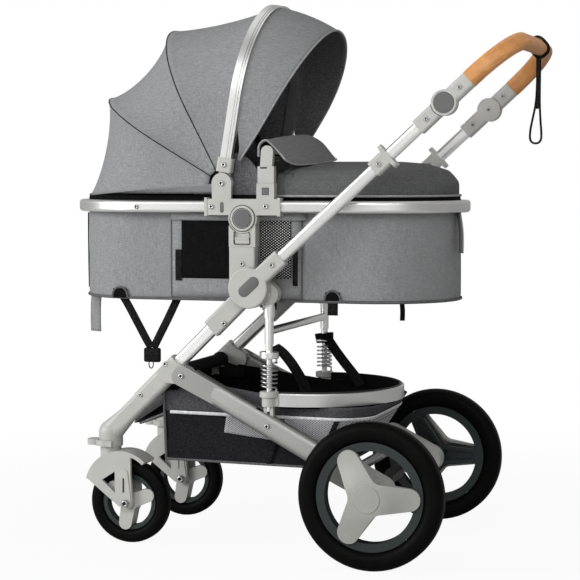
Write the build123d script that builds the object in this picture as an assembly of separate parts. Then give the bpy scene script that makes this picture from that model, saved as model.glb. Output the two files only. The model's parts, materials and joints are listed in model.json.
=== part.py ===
"""Baby stroller with a carrycot, in millimetres.

The frame stands on z = 0. +X points to the rear, where the parent walks, +Y to the right and +Z up.
Pieces of the right side are modelled at positive y and mirrored for the left side.
"""
import math
import os

from build123d import *

os.makedirs("parts", exist_ok=True)

# Wheels and stance
REAR_WHEEL_D = 290.0
REAR_TYRE_W = 46.0
REAR_TYRE_DEPTH = 38.0
REAR_TRACK = 565.0
REAR_AXLE_X = 226.0
REAR_AXLE_R = 6.0
REAR_RIM_W = 26.0
REAR_RIM_DEPTH = 17.0
FRONT_WHEEL_D = 172.0
FRONT_TYRE_W = 34.0
FRONT_TYRE_DEPTH = 28.0
FRONT_TRACK = 322.0
FRONT_AXLE_R = 4.0
FRONT_RIM_W = 22.0
FRONT_RIM_DEPTH = 9.0
WHEELBASE = 549.0
CASTER_TRAIL = 45.0
STAR_ROOT_R = 12.0
COVER_ROOT_R = 24.0
GUARD_T = 8.0
GUARD_SHIFT = 13.0
GUARD_LIFT = 28.7

# Fold hub, legs and handle line
HUB_X = -44.0
HUB_Z = 539.0
HUB_R = 41.0
HUB_IN = 181.0
HUB_OUT = 205.0
HUB_PIN_R = 10.0
LEG_DEPTH = 28.0
LEG_W = 18.0
LEG_WALL = 2.0
HANDLE_ANGLE = 42.5
HANDLE_LENGTH = 538.0
HANDLE_DEPTH = 25.0
HANDLE_W = 18.0
HANDLE_Y = 218.0
CASTING_WALL = 3.0

# Rear legs and suspension
PIVOT_FROM_HUB = 238.0
TONGUE_R = 12.5
TONGUE_TO_LEG = 0.5
PIVOT_OFFSET = LEG_DEPTH / 2 + TONGUE_R + TONGUE_TO_LEG
REAR_LEG_DEPTH = 46.0
REAR_LEG_W = 28.0
REAR_LEG_WALL = 3.0
REAR_LEG_AXLE_Y = 222.0
STRUT_Y = 196.0
STRUT_X = -9.0
STRUT_TOP_Z = 526.0
STRUT_R = 9.0
STRUT_ROD_R = 6.0
SPRING_SEAT_R = 19.5
SPRING_R = 15.2
SPRING_WIRE = 4.0
SPRING_TURNS = 6

# Seat unit
TILT_X = -64.0
TILT_Z = 677.0
POST_W = 55.0
POST_TOP = 619.7
RING_FRONT_X = -488.0
RING_REAR_X = 354.0
RING_HALF_W = 197.0
RING_Z = 700.0
RING_H = 25.0
RING_W = 18.0
BRACKET_OUT = 200.0
TUB_BOTTOM_Z = 511.0
TUB_HALF_W = 168.0
TUB_WALL = 6.0

# Canopy bows turn about one line
CANOPY_X = -108.6
CANOPY_Z = 747.0
CANOPY_HALF_W = 195.0
CANOPY_RISE = 175.0
CLOTH = 3.0
HOOP_TILT = 9.3
MIDDLE_TILT = -27.6
REAR_TILT = -59.6
BASE_TILT = -94.5
VISOR_TILT = 30.5
MIDDLE_DROP = 8.0
REAR_DROP = 12.0
BASE_DROP = 14.0
HOOP_W = 23.0
HOOP_T = 14.0
BOW_W = 12.0
BOW_T = 4.0

# Handlebar
BAR_REACH = 179.0
BAR_CORNER_R = 105.0
BAR_TUBE_R = 11.0
GRIP_T = 36.0
GRIP_W = 28.0
HINGE_R = 25.0

# Basket
BASKET_FRONT_X = -250.0
BASKET_FLOOR_Z = 174.0
BASKET_WALL = 4.0
BASKET_HOOP_REAR_X = 215.0
BASKET_HOOP_H = 27.0
BASKET_HOOP_W = 10.0

# Clearances
SNUG = 0.15
RUNNING = 0.05
TURNING = 0.5
SEAT_GAP = 0.3

# Derived places
REAR_AXLE_Z = REAR_WHEEL_D / 2
FRONT_AXLE_Z = FRONT_WHEEL_D / 2
FRONT_AXLE_X = REAR_AXLE_X - WHEELBASE
SWIVEL_X = FRONT_AXLE_X - CASTER_TRAIL
SWIVEL_Y = FRONT_TRACK / 2
WHEEL_Y = REAR_TRACK / 2
GUARD_R = FRONT_WHEEL_D / 2 - 7
GUARD_Z = FRONT_AXLE_Z + GUARD_LIFT
CROWN_Z = GUARD_Z + math.sqrt(GUARD_R**2 - (CASTER_TRAIL - GUARD_SHIFT) ** 2)
SOCKET_Z = GUARD_Z + GUARD_R + 7.3
SOCKET_R = 25.0
STEM_R = 10.0
HUB = (HUB_X, HUB_Z)
LEG_FOOT = Vector(SWIVEL_X, SWIVEL_Y, SOCKET_Z + 28)
LEG_HEAD = Vector(HUB_X, (HUB_IN + HUB_OUT) / 2, HUB_Z)
LEG_RUN = LEG_HEAD - LEG_FOOT
LEG_LENGTH = LEG_RUN.length
LEG_SIDE = Vector(LEG_RUN.X, 0, LEG_RUN.Z).normalized()
LEG_BELOW = Vector(LEG_SIDE.Z, 0, -LEG_SIDE.X)
PIVOT = Vector(HUB_X, 0, HUB_Z) - LEG_SIDE * PIVOT_FROM_HUB + LEG_BELOW * PIVOT_OFFSET
PIVOT_T = LEG_LENGTH - PIVOT_FROM_HUB
PIVOT_Y = LEG_FOOT.Y + LEG_RUN.Y * PIVOT_T / LEG_LENGTH
REAR_LEG_HEAD = Vector(PIVOT.X, PIVOT_Y, PIVOT.Z)
REAR_LEG_FOOT = Vector(REAR_AXLE_X, REAR_LEG_AXLE_Y, REAR_AXLE_Z)
REAR_LEG_LENGTH = (REAR_LEG_FOOT - REAR_LEG_HEAD).length
STRUT_SHARE = (STRUT_X - PIVOT.X) / (REAR_AXLE_X - PIVOT.X)
STRUT_FOOT_Z = PIVOT.Z + (REAR_AXLE_Z - PIVOT.Z) * STRUT_SHARE
LOWER_SEAT_Z = STRUT_FOOT_Z + 69
UPPER_SEAT_Z = STRUT_TOP_Z - 129
HANDLE_DIR = Vector(math.cos(math.radians(HANDLE_ANGLE)), 0, math.sin(math.radians(HANDLE_ANGLE)))
HANDLE_FOOT = Vector(HUB_X, HANDLE_Y, HUB_Z)
HINGE = HANDLE_FOOT + HANDLE_DIR * HANDLE_LENGTH
COVER_IN = HUB_OUT + 1
COVER_OUT = 2 * HANDLE_Y - COVER_IN
RING_MID_X = (RING_FRONT_X + RING_REAR_X) / 2
RING_LENGTH = RING_REAR_X - RING_FRONT_X
RING_Y = RING_HALF_W - RING_W / 2
RING_TOP = RING_Z + RING_H / 2
BRACKET_IN = RING_HALF_W - RING_W
BASKET_HOOP_Z = LOWER_SEAT_Z - 30


def mirrored(part):
    """The same piece on the left side."""
    return mirror(part, about=Plane.XZ)


def save(node, *pieces):
    """Write the solids of one node."""
    solids = [solid for piece in pieces for solid in piece.solids()]
    export_step(Compound(children=solids), f"parts/{node}.step")


def save_pair(node, piece):
    """Write a right-hand piece and its mirror image as one node."""
    save(node, piece, mirrored(piece))


def save_sides(node, piece):
    """Write a right-hand piece and its mirror image as two nodes."""
    save(f"{node}_right", piece)
    save(f"{node}_left", mirrored(piece))


def disc(x, z, radius):
    """A circle in side view."""
    return Pos(x, z) * Circle(radius)


def lobes(*circles):
    """The taut outline round some circles, each (x, z, radius), in side view."""
    edges = [edge for circle in circles for edge in disc(*circle).edges()]
    return make_hull(edges)


def block(x_from, x_to, z_from, z_to):
    """A rectangle in side view."""
    return Pos((x_from + x_to) / 2, (z_from + z_to) / 2) * Rectangle(x_to - x_from, z_to - z_from)


def side_plate(outline, y_from, y_to):
    """A side-view outline carried from one side plane out to another."""
    return extrude(Plane.XZ.offset(-y_from) * outline, amount=y_from - y_to)


def beam(start, end, depth, width, corner, s_from, s_to):
    """A bar of rounded section along a line, between two distances from its start."""
    run = (end - start).normalized()
    across = run.cross(Vector(0, 1, 0))
    plane = Plane(origin=start + run * s_from, x_dir=across, z_dir=run)
    return extrude(plane * RectangleRounded(depth, width, corner), amount=s_to - s_from)


def tube(start, end, depth, width, corner, wall, s_from, s_to):
    """A hollow bar of rounded section along a line."""
    outside = beam(start, end, depth, width, corner, s_from, s_to)
    inside = beam(start, end, depth - 2 * wall, width - 2 * wall, corner - wall, s_from - 1, s_to + 1)
    return outside - inside


def upright(x, y, radius, z_from, z_to):
    """A standing cylinder."""
    return Pos(x, y, (z_from + z_to) / 2) * Cylinder(radius, z_to - z_from)


def brick(x_from, x_to, y_from, y_to, z_from, z_to):
    """A box between two corners."""
    centre = Pos((x_from + x_to) / 2, (y_from + y_to) / 2, (z_from + z_to) / 2)
    return centre * Box(x_to - x_from, y_to - y_from, z_to - z_from)


# Front legs

SLEEVE_FROM = 103.0
SLEEVE_TO = PIVOT_T + 10
SLEEVE_DEPTH = LEG_DEPTH + 11
SLEEVE_W = LEG_W + 14
SPIGOT = 17.0
LEG_SOCKET_LENGTH = 125.0
LEG_TOP_T = LEG_LENGTH - 62
CROSS_R = 11.0
CROSS_T = SLEEVE_TO - 42
CROSS_AT = LEG_FOOT + LEG_RUN * (CROSS_T / LEG_LENGTH)
CROSS_BOSS_Y = CROSS_AT.Y - SLEEVE_W / 2 - 8
TONGUE_W = 14.0


def leg_hole(s_from, s_to):
    """The room a leg tube takes in its castings."""
    depth = LEG_DEPTH + 2 * SNUG
    width = LEG_W + 2 * SNUG
    return beam(LEG_FOOT, LEG_HEAD, depth, width, LEG_W / 2 - 1, s_from, s_to)


def chassis_tubes():
    corner = LEG_W / 2 - 1
    leg = tube(LEG_FOOT, LEG_HEAD, LEG_DEPTH, LEG_W, corner, LEG_WALL, SLEEVE_FROM + SPIGOT + 5, LEG_TOP_T)
    reach = CROSS_BOSS_Y + 6
    cross = side_plate(disc(CROSS_AT.X, CROSS_AT.Z, CROSS_R), -reach, reach)
    bore = side_plate(disc(CROSS_AT.X, CROSS_AT.Z, CROSS_R - LEG_WALL), -reach, reach)
    save("chassis_tubes", leg, mirrored(leg), cross - bore)


def leg_brackets():
    sleeve = beam(LEG_FOOT, LEG_HEAD, SLEEVE_DEPTH, SLEEVE_W, 9, SLEEVE_FROM, SLEEVE_TO)
    near = LEG_FOOT + LEG_RUN * ((PIVOT_T - 26) / LEG_LENGTH)
    far = LEG_FOOT + LEG_RUN * ((SLEEVE_TO - 18) / LEG_LENGTH)
    outline = lobes((PIVOT.X, PIVOT.Z, 18), (near.X, near.Z, 17), (far.X, far.Z, 17))
    half = SLEEVE_W / 2
    cheeks = side_plate(outline, PIVOT_Y - half, PIVOT_Y + half)
    below = rear_leg_point(45)
    room_outline = lobes(
        (PIVOT.X, PIVOT.Z, TONGUE_R + 1), (below.X, below.Z, TONGUE_R + 5), (below.X + 2, below.Z + 6, TONGUE_R + 5)
    )
    room = side_plate(room_outline, PIVOT_Y - TONGUE_W / 2 - TURNING, PIVOT_Y + TONGUE_W / 2 + TURNING)
    boss = side_plate(disc(CROSS_AT.X, CROSS_AT.Z, CROSS_R + 4), CROSS_BOSS_Y, CROSS_AT.Y)
    seat = side_plate(disc(CROSS_AT.X, CROSS_AT.Z, CROSS_R + SNUG), CROSS_BOSS_Y, CROSS_BOSS_Y + 6.2)
    pin = side_plate(disc(PIVOT.X, PIVOT.Z, 4), PIVOT_Y - half, PIVOT_Y + half)
    body = sleeve + cheeks + boss - room - seat - leg_hole(SLEEVE_FROM - 1, SLEEVE_TO + 40)
    save_pair("leg_brackets", body + pin)


ELBOW_DEPTH = SLEEVE_DEPTH - 3
ELBOW_W = SLEEVE_W - 4


def caster_elbows():
    socket = upright(SWIVEL_X, SWIVEL_Y, SOCKET_R, SOCKET_Z, LEG_FOOT.Z)
    knee = Pos(*LEG_FOOT) * Sphere(SOCKET_R)
    run = LEG_RUN.normalized()
    across = run.cross(Vector(0, 1, 0))
    root = Plane(origin=LEG_FOOT + run * 8, x_dir=across, z_dir=run) * RectangleRounded(48, 42, 19)
    wrist = Plane(origin=LEG_FOOT + run * 52, x_dir=across, z_dir=run) * RectangleRounded(ELBOW_DEPTH, ELBOW_W, 8)
    taper = loft([root, wrist])
    arm = beam(LEG_FOOT, LEG_HEAD, ELBOW_DEPTH, ELBOW_W, 8, 52, SLEEVE_FROM - 0.5)
    spigot = beam(LEG_FOOT, LEG_HEAD, LEG_DEPTH, LEG_W, LEG_W / 2 - 1, 52, SLEEVE_FROM + SPIGOT)
    bore = upright(SWIVEL_X, SWIVEL_Y, STEM_R + RUNNING, SOCKET_Z - 1, LEG_FOOT.Z + 5)
    elbow = socket + knee + taper + arm + spigot - bore
    lugs = side_plate(disc(SWIVEL_X, SOCKET_Z + 7, 4), SWIVEL_Y - SOCKET_R - 7, SWIVEL_Y + SOCKET_R + 7)
    save_pair("caster_elbows", elbow + lugs - bore)


# Fold hub

EYE_R = 12.0
EYE_W = 12.0
STRUT_PIN_R = 4.0
PIN_SLACK = 0.3
LOBE_R = 21.0
TONGUE_H = 14.0


def hub_bases():
    core = side_plate(disc(*HUB, HUB_R - 3), HUB_IN, HUB_OUT)
    post = brick(TILT_X - POST_W / 2, TILT_X + POST_W / 2, HUB_IN, HUB_OUT, HUB_Z, POST_TOP)
    post = fillet(post.edges().filter_by(Axis.Z), 4)
    tongue = brick(TILT_X - POST_W / 3, TILT_X + POST_W / 3, HUB_IN + 5, HUB_OUT - 8, POST_TOP - 2, POST_TOP + TONGUE_H)
    leg_socket = beam(
        LEG_HEAD, LEG_FOOT, LEG_DEPTH + 11, HUB_OUT - HUB_IN, 5, 10, LEG_SOCKET_LENGTH
    )
    lobe_outline = lobes((HUB_X, HUB_Z, HUB_R - 8), (STRUT_X, STRUT_TOP_Z, LOBE_R))
    lobe = side_plate(lobe_outline, HUB_IN, HUB_OUT)
    slot_outline = lobes((STRUT_X, STRUT_TOP_Z, EYE_R + 2), (STRUT_X, STRUT_TOP_Z - 40, EYE_R + 4))
    slot = side_plate(slot_outline, STRUT_Y - EYE_W / 2 - TURNING, STRUT_Y + EYE_W / 2 + TURNING)
    trim = side_plate(block(HUB_X - 300, HUB_X + 300, 0, HUB_Z + 200), HUB_OUT, HUB_OUT + 30)
    body = core + post + tongue + leg_socket + lobe - trim - slot
    body -= leg_hole(LEG_LENGTH - LEG_SOCKET_LENGTH - 1, LEG_TOP_T + 0.3)
    strut_pin = side_plate(disc(STRUT_X, STRUT_TOP_Z, STRUT_PIN_R), HUB_IN, HUB_OUT)
    fold_pin = side_plate(disc(*HUB, HUB_PIN_R), HUB_OUT - 5, COVER_OUT - 4)
    save_pair("hub_bases", body + strut_pin + fold_pin)


# Rear frame

REAR_LEG_FROM = 20.0
REAR_LEG_TO = REAR_LEG_LENGTH - 60
SLOT_W = 16.0
AXLE_BOSS_R = 21.0
REAR_CROSS_R = 10.0
REAR_CROSS_S = REAR_LEG_LENGTH - 71
BRAKE_BAR_R = 6.0
BRAKE_X = REAR_AXLE_X - 28
BRAKE_Z = REAR_AXLE_Z - 8
WHEEL_INNER_Y = WHEEL_Y - REAR_TYRE_W / 2


def rear_leg_point(s):
    """A point on the right rear leg's centre line."""
    return REAR_LEG_HEAD + (REAR_LEG_FOOT - REAR_LEG_HEAD) * (s / REAR_LEG_LENGTH)


REAR_CROSS = rear_leg_point(REAR_CROSS_S)
BRACKET_INNER_Y = REAR_CROSS.Y - REAR_LEG_W / 2 - 4
CROSS_BOSS_INNER_Y = BRACKET_INNER_Y - 10


def rear_legs():
    corner = REAR_LEG_W / 2 - 2
    shell = tube(
        REAR_LEG_HEAD, REAR_LEG_FOOT, REAR_LEG_DEPTH, REAR_LEG_W, corner, REAR_LEG_WALL, REAR_LEG_FROM, REAR_LEG_TO
    )
    plug = beam(REAR_LEG_HEAD, REAR_LEG_FOOT, REAR_LEG_DEPTH - 6, REAR_LEG_W - 6, corner - 3, REAR_LEG_FROM, 44)
    tip = rear_leg_point(REAR_LEG_FROM + 8)
    tongue_outline = lobes((PIVOT.X, PIVOT.Z, TONGUE_R), (tip.X, tip.Z, TONGUE_R + 3))
    tongue = side_plate(tongue_outline, PIVOT_Y - TONGUE_W / 2, PIVOT_Y + TONGUE_W / 2)
    hole = side_plate(disc(PIVOT.X, PIVOT.Z, 4 + PIN_SLACK), PIVOT_Y - 30, PIVOT_Y + 30)
    slot_top = block(STRUT_X - 26, STRUT_X + 26, STRUT_FOOT_Z, STRUT_FOOT_Z + 70)
    slot = side_plate(slot_top, STRUT_Y - SLOT_W / 2, STRUT_Y + SLOT_W / 2)
    pin = side_plate(
        disc(STRUT_X, STRUT_FOOT_Z, STRUT_PIN_R), STRUT_Y - REAR_LEG_W / 2 + 1, STRUT_Y + REAR_LEG_W / 2
    )
    cap_end = rear_leg_point(78)
    cap_y = PIVOT_Y + SLEEVE_W / 2 + 2.2
    cap = side_plate(lobes((PIVOT.X, PIVOT.Z, 21), (cap_end.X, cap_end.Z, 20)), cap_y, cap_y + 3)
    cap = fillet(cap.edges().group_by(Axis.Y)[-1], 1)
    up = (REAR_LEG_FOOT - REAR_LEG_HEAD).normalized().cross(Vector(0, 1, 0))
    aside = Vector(0, REAR_LEG_W / 2, 0) - up * 9
    bead = beam(REAR_LEG_HEAD + aside, REAR_LEG_FOOT + aside, 3, 2, 0.5, 60, REAR_LEG_TO + 1)
    save_pair("rear_legs", shell + plug + tongue - bead + cap - hole - slot + pin)


def axle_brackets():
    grip = rear_leg_point(REAR_LEG_TO - 40)
    outer_y = REAR_LEG_FOOT.Y + REAR_LEG_W / 2
    outline = lobes(
        (grip.X, grip.Z, REAR_LEG_DEPTH / 2 + 5),
        (REAR_CROSS.X, REAR_CROSS.Z, REAR_LEG_DEPTH / 2 + 5),
        (REAR_AXLE_X, REAR_AXLE_Z, AXLE_BOSS_R + 6),
    )
    body = side_plate(outline, BRACKET_INNER_Y - 2, outer_y)
    boss = side_plate(disc(REAR_AXLE_X, REAR_AXLE_Z, AXLE_BOSS_R), outer_y - 1, WHEEL_INNER_Y - 2)
    cross_boss = side_plate(disc(REAR_CROSS.X, REAR_CROSS.Z, REAR_CROSS_R + 4), CROSS_BOSS_INNER_Y, BRACKET_INNER_Y)
    cross_seat = side_plate(
        disc(REAR_CROSS.X, REAR_CROSS.Z, REAR_CROSS_R + SNUG), CROSS_BOSS_INNER_Y - 1, BRACKET_INNER_Y - 2
    )
    leg_room = beam(
        REAR_LEG_HEAD, REAR_LEG_FOOT, REAR_LEG_DEPTH + 2 * SNUG, REAR_LEG_W + 2 * SNUG,
        REAR_LEG_W / 2 - 2, REAR_LEG_TO - 120, REAR_LEG_TO + 0.3,
    )
    brake_bore = side_plate(disc(BRAKE_X, BRAKE_Z, BRAKE_BAR_R + PIN_SLACK), BRACKET_INNER_Y - 3, BRACKET_INNER_Y + 14)
    axle_bore = side_plate(disc(REAR_AXLE_X, REAR_AXLE_Z, REAR_AXLE_R + SNUG), REAR_LEG_FOOT.Y, WHEEL_INNER_Y)
    save_pair("axle_brackets", body + boss + cross_boss - cross_seat - leg_room - brake_bore - axle_bore)


def rear_axle_tubes():
    reach = BRACKET_INNER_Y - 2.5
    outside = side_plate(disc(REAR_CROSS.X, REAR_CROSS.Z, REAR_CROSS_R), -reach, reach)
    inside = side_plate(disc(REAR_CROSS.X, REAR_CROSS.Z, REAR_CROSS_R - 2), -reach, reach)
    stub = side_plate(disc(REAR_AXLE_X, REAR_AXLE_Z, REAR_AXLE_R), REAR_LEG_FOOT.Y + 1, WHEEL_Y + 18)
    save("rear_axle_tubes", outside - inside, stub, mirrored(stub))


PEDAL_HALF_W = 46.0


def brake():
    reach = BRACKET_INNER_Y + 12
    bar = side_plate(disc(BRAKE_X, BRAKE_Z, BRAKE_BAR_R), -reach, reach)
    save("brake_bar", bar)
    tread = lobes((BRAKE_X + 3, BRAKE_Z + 14, 8), (BRAKE_X + 30, BRAKE_Z + 32, 6))
    clamp = lobes((BRAKE_X, BRAKE_Z, BRAKE_BAR_R + 5), (BRAKE_X + 3, BRAKE_Z + 14, 9))
    outline = clamp + tread - disc(BRAKE_X, BRAKE_Z, BRAKE_BAR_R + SNUG)
    pedal = side_plate(outline, -PEDAL_HALF_W, PEDAL_HALF_W)
    ribs = [side_plate(tread, y, y + 4) for y in range(-40, 41, 16)]
    grooves = [Pos(2, 0, 5.5) * rib for rib in ribs]
    save("brake_pedal", pedal - grooves)


# Suspension struts

LOWER_SOCKET_R = 15.0


def strut_rods():
    eye = side_plate(disc(STRUT_X, STRUT_TOP_Z, EYE_R), STRUT_Y - EYE_W / 2, STRUT_Y + EYE_W / 2)
    neck = brick(
        STRUT_X - 9, STRUT_X + 9, STRUT_Y - EYE_W / 2, STRUT_Y + EYE_W / 2, STRUT_TOP_Z - 34, STRUT_TOP_Z - 4
    )
    ferrule = upright(STRUT_X, STRUT_Y, STRUT_R + 2.5, STRUT_TOP_Z - 46, STRUT_TOP_Z - 24)
    outer = upright(STRUT_X, STRUT_Y, STRUT_R, UPPER_SEAT_Z + 28, STRUT_TOP_Z - 40)
    waist = upright(STRUT_X, STRUT_Y, STRUT_R - 2, UPPER_SEAT_Z + 13, UPPER_SEAT_Z + 29)
    collar = upright(STRUT_X, STRUT_Y, SPRING_SEAT_R, UPPER_SEAT_Z, UPPER_SEAT_Z + 14)
    collar = fillet(collar.edges(), 2)
    rod = upright(STRUT_X, STRUT_Y, STRUT_ROD_R, STRUT_FOOT_Z + 29, UPPER_SEAT_Z + 5)
    hole = side_plate(disc(STRUT_X, STRUT_TOP_Z, STRUT_PIN_R + PIN_SLACK), STRUT_Y - 20, STRUT_Y + 20)
    right = eye + neck + ferrule + outer + waist + collar + rod - hole
    bar = side_plate(disc(STRUT_X, UPPER_SEAT_Z + 55, STRUT_R - 1), -STRUT_Y, STRUT_Y)
    save("strut_rods", right + bar + mirrored(right))


def biarc(p_from, t_from, p_to, t_to):
    """Two tangent arcs from one point and direction to another."""
    chord = p_to - p_from
    turn = t_from + t_to
    a = 2 * (1 - t_from.dot(t_to))
    b = chord.dot(turn)
    step = (-b + math.sqrt(b * b + a * chord.dot(chord))) / a
    middle = (p_from + p_to + (t_from - t_to) * step) * 0.5
    first = Edge.make_tangent_arc(p_from, t_from, middle)
    second = Edge.make_tangent_arc(middle, first.tangent_at(1), p_to)
    return [first, second]


def springs():
    low = LOWER_SEAT_Z + SEAT_GAP
    high = UPPER_SEAT_Z - SEAT_GAP
    lead = 2 * SPRING_WIRE
    pitch = (high - low - 2 * lead) / SPRING_TURNS
    slope = pitch / (2 * math.pi)

    def on_coil(turn):
        angle = 2 * math.pi * turn
        centre = Vector(STRUT_X, STRUT_Y, low + lead)
        return centre + Vector(SPRING_R * math.cos(angle), SPRING_R * math.sin(angle), pitch * turn)

    def along(turn):
        angle = 2 * math.pi * turn
        return Vector(-SPRING_R * math.sin(angle), SPRING_R * math.cos(angle), slope).normalized()

    rise = Vector(0, 0, 1)
    steps = 4 * SPRING_TURNS
    marks = [0.125 + (SPRING_TURNS - 0.25) * i / steps for i in range(steps + 1)]
    foot = on_coil(0) * 1.0
    foot.Z = low + SPRING_WIRE
    head = on_coil(SPRING_TURNS) * 1.0
    head.Z = high - SPRING_WIRE
    edges = [Edge.make_line(foot - rise * SPRING_WIRE, foot)]
    edges += biarc(foot, rise, on_coil(marks[0]), along(marks[0]))
    for here, there in zip(marks, marks[1:]):
        edges += biarc(on_coil(here), along(here), on_coil(there), along(there))
    edges += biarc(on_coil(marks[-1]), along(marks[-1]), head, rise)
    edges.append(Edge.make_line(head, head + rise * SPRING_WIRE))
    path = Wire(edges)
    section = Plane(origin=foot - rise * SPRING_WIRE, z_dir=rise) * Circle(SPRING_WIRE / 2)
    coil = sweep(section, path=path)
    samples = [path.position_at(i / 600) for i in range(601)]
    apart = 40
    gap = min((a - b).length for i, a in enumerate(samples) for b in samples[i + apart:]) - SPRING_WIRE
    print(f"spring: least gap to itself {gap:.2f} mm, volume ratio {coil.volume / (path.length * math.pi * SPRING_WIRE**2 / 4):.3f}")
    save_pair("springs", coil)


def spring_seats():
    lug_outline = lobes((STRUT_X, STRUT_FOOT_Z, 10), (STRUT_X, STRUT_FOOT_Z + 42, 10))
    lug = side_plate(lug_outline, STRUT_Y - EYE_W / 2, STRUT_Y + EYE_W / 2)
    socket = upright(STRUT_X, STRUT_Y, LOWER_SOCKET_R, STRUT_FOOT_Z + 39, LOWER_SEAT_Z - 10)
    collar = upright(STRUT_X, STRUT_Y, SPRING_SEAT_R, LOWER_SEAT_Z - 12, LOWER_SEAT_Z)
    collar = fillet(collar.edges(), 2)
    arm = brick(
        STRUT_X, STRUT_X + 20, STRUT_Y - 8, STRUT_Y + 6, BASKET_HOOP_Z + 1, LOWER_SEAT_Z - 11
    )
    bore = upright(STRUT_X, STRUT_Y, STRUT_ROD_R + 0.7, STRUT_FOOT_Z + 10, LOWER_SEAT_Z + 1)
    hole = side_plate(disc(STRUT_X, STRUT_FOOT_Z, STRUT_PIN_R + PIN_SLACK), STRUT_Y - 20, STRUT_Y + 20)
    save_pair("spring_seats", lug + socket + collar + arm - bore - hole)


# Storage basket

HOOP_OUT_Y = STRUT_Y + 3
HOOP_CENTRE_X = BASKET_HOOP_REAR_X - HOOP_OUT_Y
BASKET_HALF_FRONT = PIVOT_Y - SLEEVE_W / 2 - 4
BASKET_HALF_REAR = STRUT_Y - 20


def u_outline(x_from, x_centre, half_width):
    """A plan outline, square at the front and round at the rear."""
    edges = [
        Line((x_from, -half_width), (x_centre, -half_width)),
        CenterArc((x_centre, 0), half_width, -90, 90),
        CenterArc((x_centre, 0), half_width, 0, 90),
        Line((x_centre, half_width), (x_from, half_width)),
        Line((x_from, half_width), (x_from, -half_width)),
    ]
    return make_face(edges)


def basket_hoop():
    start = STRUT_X + 20
    outer = u_outline(start, HOOP_CENTRE_X, HOOP_OUT_Y)
    inner = u_outline(start - 1, HOOP_CENTRE_X, HOOP_OUT_Y - BASKET_HOOP_W)
    band = extrude(Pos(0, 0, BASKET_HOOP_Z) * (outer - inner), amount=BASKET_HOOP_H)
    save("basket_hoop", fillet(band.edges().group_by(Axis.Z)[-1], 3))


def basket_section(z, inset):
    """The basket's plan at one height: a tapered front and a rounded rear."""
    lift = (z - BASKET_FLOOR_Z) / (BASKET_HOOP_Z - BASKET_FLOOR_Z)
    front = BASKET_FRONT_X + inset
    rear = BASKET_HOOP_REAR_X - 95 + 80 * lift - inset
    half_front = BASKET_HALF_FRONT - 12 + 12 * lift - inset
    half_rear = BASKET_HALF_REAR - 14 + 14 * lift - inset
    corner = 70 - inset
    edges = [
        Line((front, half_front), (front, -half_front)),
        Line((front, -half_front), (rear - corner, -half_rear)),
        CenterArc((rear - corner, corner - half_rear), corner, -90, 90),
        Line((rear, corner - half_rear), (rear, half_rear - corner)),
        CenterArc((rear - corner, half_rear - corner), corner, 0, 90),
        Line((rear - corner, half_rear), (front, half_front)),
    ]
    return Pos(0, 0, z) * make_face(edges)


def storage_basket():
    top = BASKET_HOOP_Z - SEAT_GAP
    lip_top = PIVOT.Z - 34
    outer = loft([basket_section(BASKET_FLOOR_Z, 0), basket_section(top, 0)], ruled=True)
    inner = loft(
        [basket_section(BASKET_FLOOR_Z + BASKET_WALL, BASKET_WALL), basket_section(top + 1, BASKET_WALL)], ruled=True
    )
    cheek_outline = make_face(
        Polyline(
            (BASKET_FRONT_X, top - 4), (STRUT_X - 24, top - 4), (STRUT_X - 24, top), (BASKET_FRONT_X, lip_top),
            close=True,
        )
    )
    wide = side_plate(cheek_outline, -BASKET_HALF_FRONT, BASKET_HALF_FRONT)
    slim = side_plate(
        block(BASKET_FRONT_X + BASKET_WALL, STRUT_X, top - 10, lip_top + 10),
        BASKET_WALL - BASKET_HALF_FRONT, BASKET_HALF_FRONT - BASKET_WALL,
    )
    nose_outline = make_face(
        Polyline(
            (BASKET_FRONT_X, lip_top - 20), (BASKET_FRONT_X - 88, lip_top - 92), (BASKET_FRONT_X - 88, lip_top - 96),
            (BASKET_FRONT_X, lip_top - 60), close=True,
        )
    )
    nose = side_plate(nose_outline, 45 - SWIVEL_Y, SWIVEL_Y - 45)
    save("storage_basket", outer - inner + (wide - slim) + nose)


# Wheels

def wheel_tyre(x, y, diameter, width, depth):
    """A tyre with rounded shoulders on a Y axis."""
    middle = diameter / 2 - depth / 2
    profile = Pos(middle, 0) * RectangleRounded(depth, width, min(depth, width) / 2 - 2)
    return Pos(x, y, diameter / 2) * revolve(Plane.XY * profile, Axis.Y)


def wheel_ring(x, y, z, r_out, r_in, width):
    """A rim with a sunk waist, on a Y axis."""
    edges = Polyline(
        (r_out, -width / 2), (r_out, width / 2), (r_in, width / 2), (r_in + 5, width / 6), (r_in + 5, -width / 6),
        (r_in, -width / 2), close=True,
    )
    return Pos(x, y, z) * revolve(Plane.XY * make_face(edges), Axis.Y)


def star(x, z, hub_r, tip_r, reach, first, root=STAR_ROOT_R):
    """Three lobes about a wheel centre, in side view."""
    outline = disc(x, z, hub_r)
    for i in range(3):
        angle = math.radians(first + 120 * i)
        outline += lobes((x, z, hub_r - 4), (x + reach * math.cos(angle), z + reach * math.sin(angle), tip_r))
    return offset(offset(outline, amount=root), amount=-root)


COVER_RISE = 25.0
COVER_TIP_R = 22.0


def wheel_dome(y, radius, rise):
    """A low dome on the rear axle, standing out from one plane."""
    edges = [
        Line((0, 0), (radius, 0)),
        Line((radius, 0), (radius, 5)),
        Bezier((radius, 5), (radius * 0.6, 9), (radius * 0.45, rise), (24, rise)),
        Line((24, rise), (0, rise)),
        Line((0, rise), (0, 0)),
    ]
    return Pos(REAR_AXLE_X, y, REAR_AXLE_Z) * revolve(Plane.XY * make_face(edges), Axis.Y)


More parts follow.
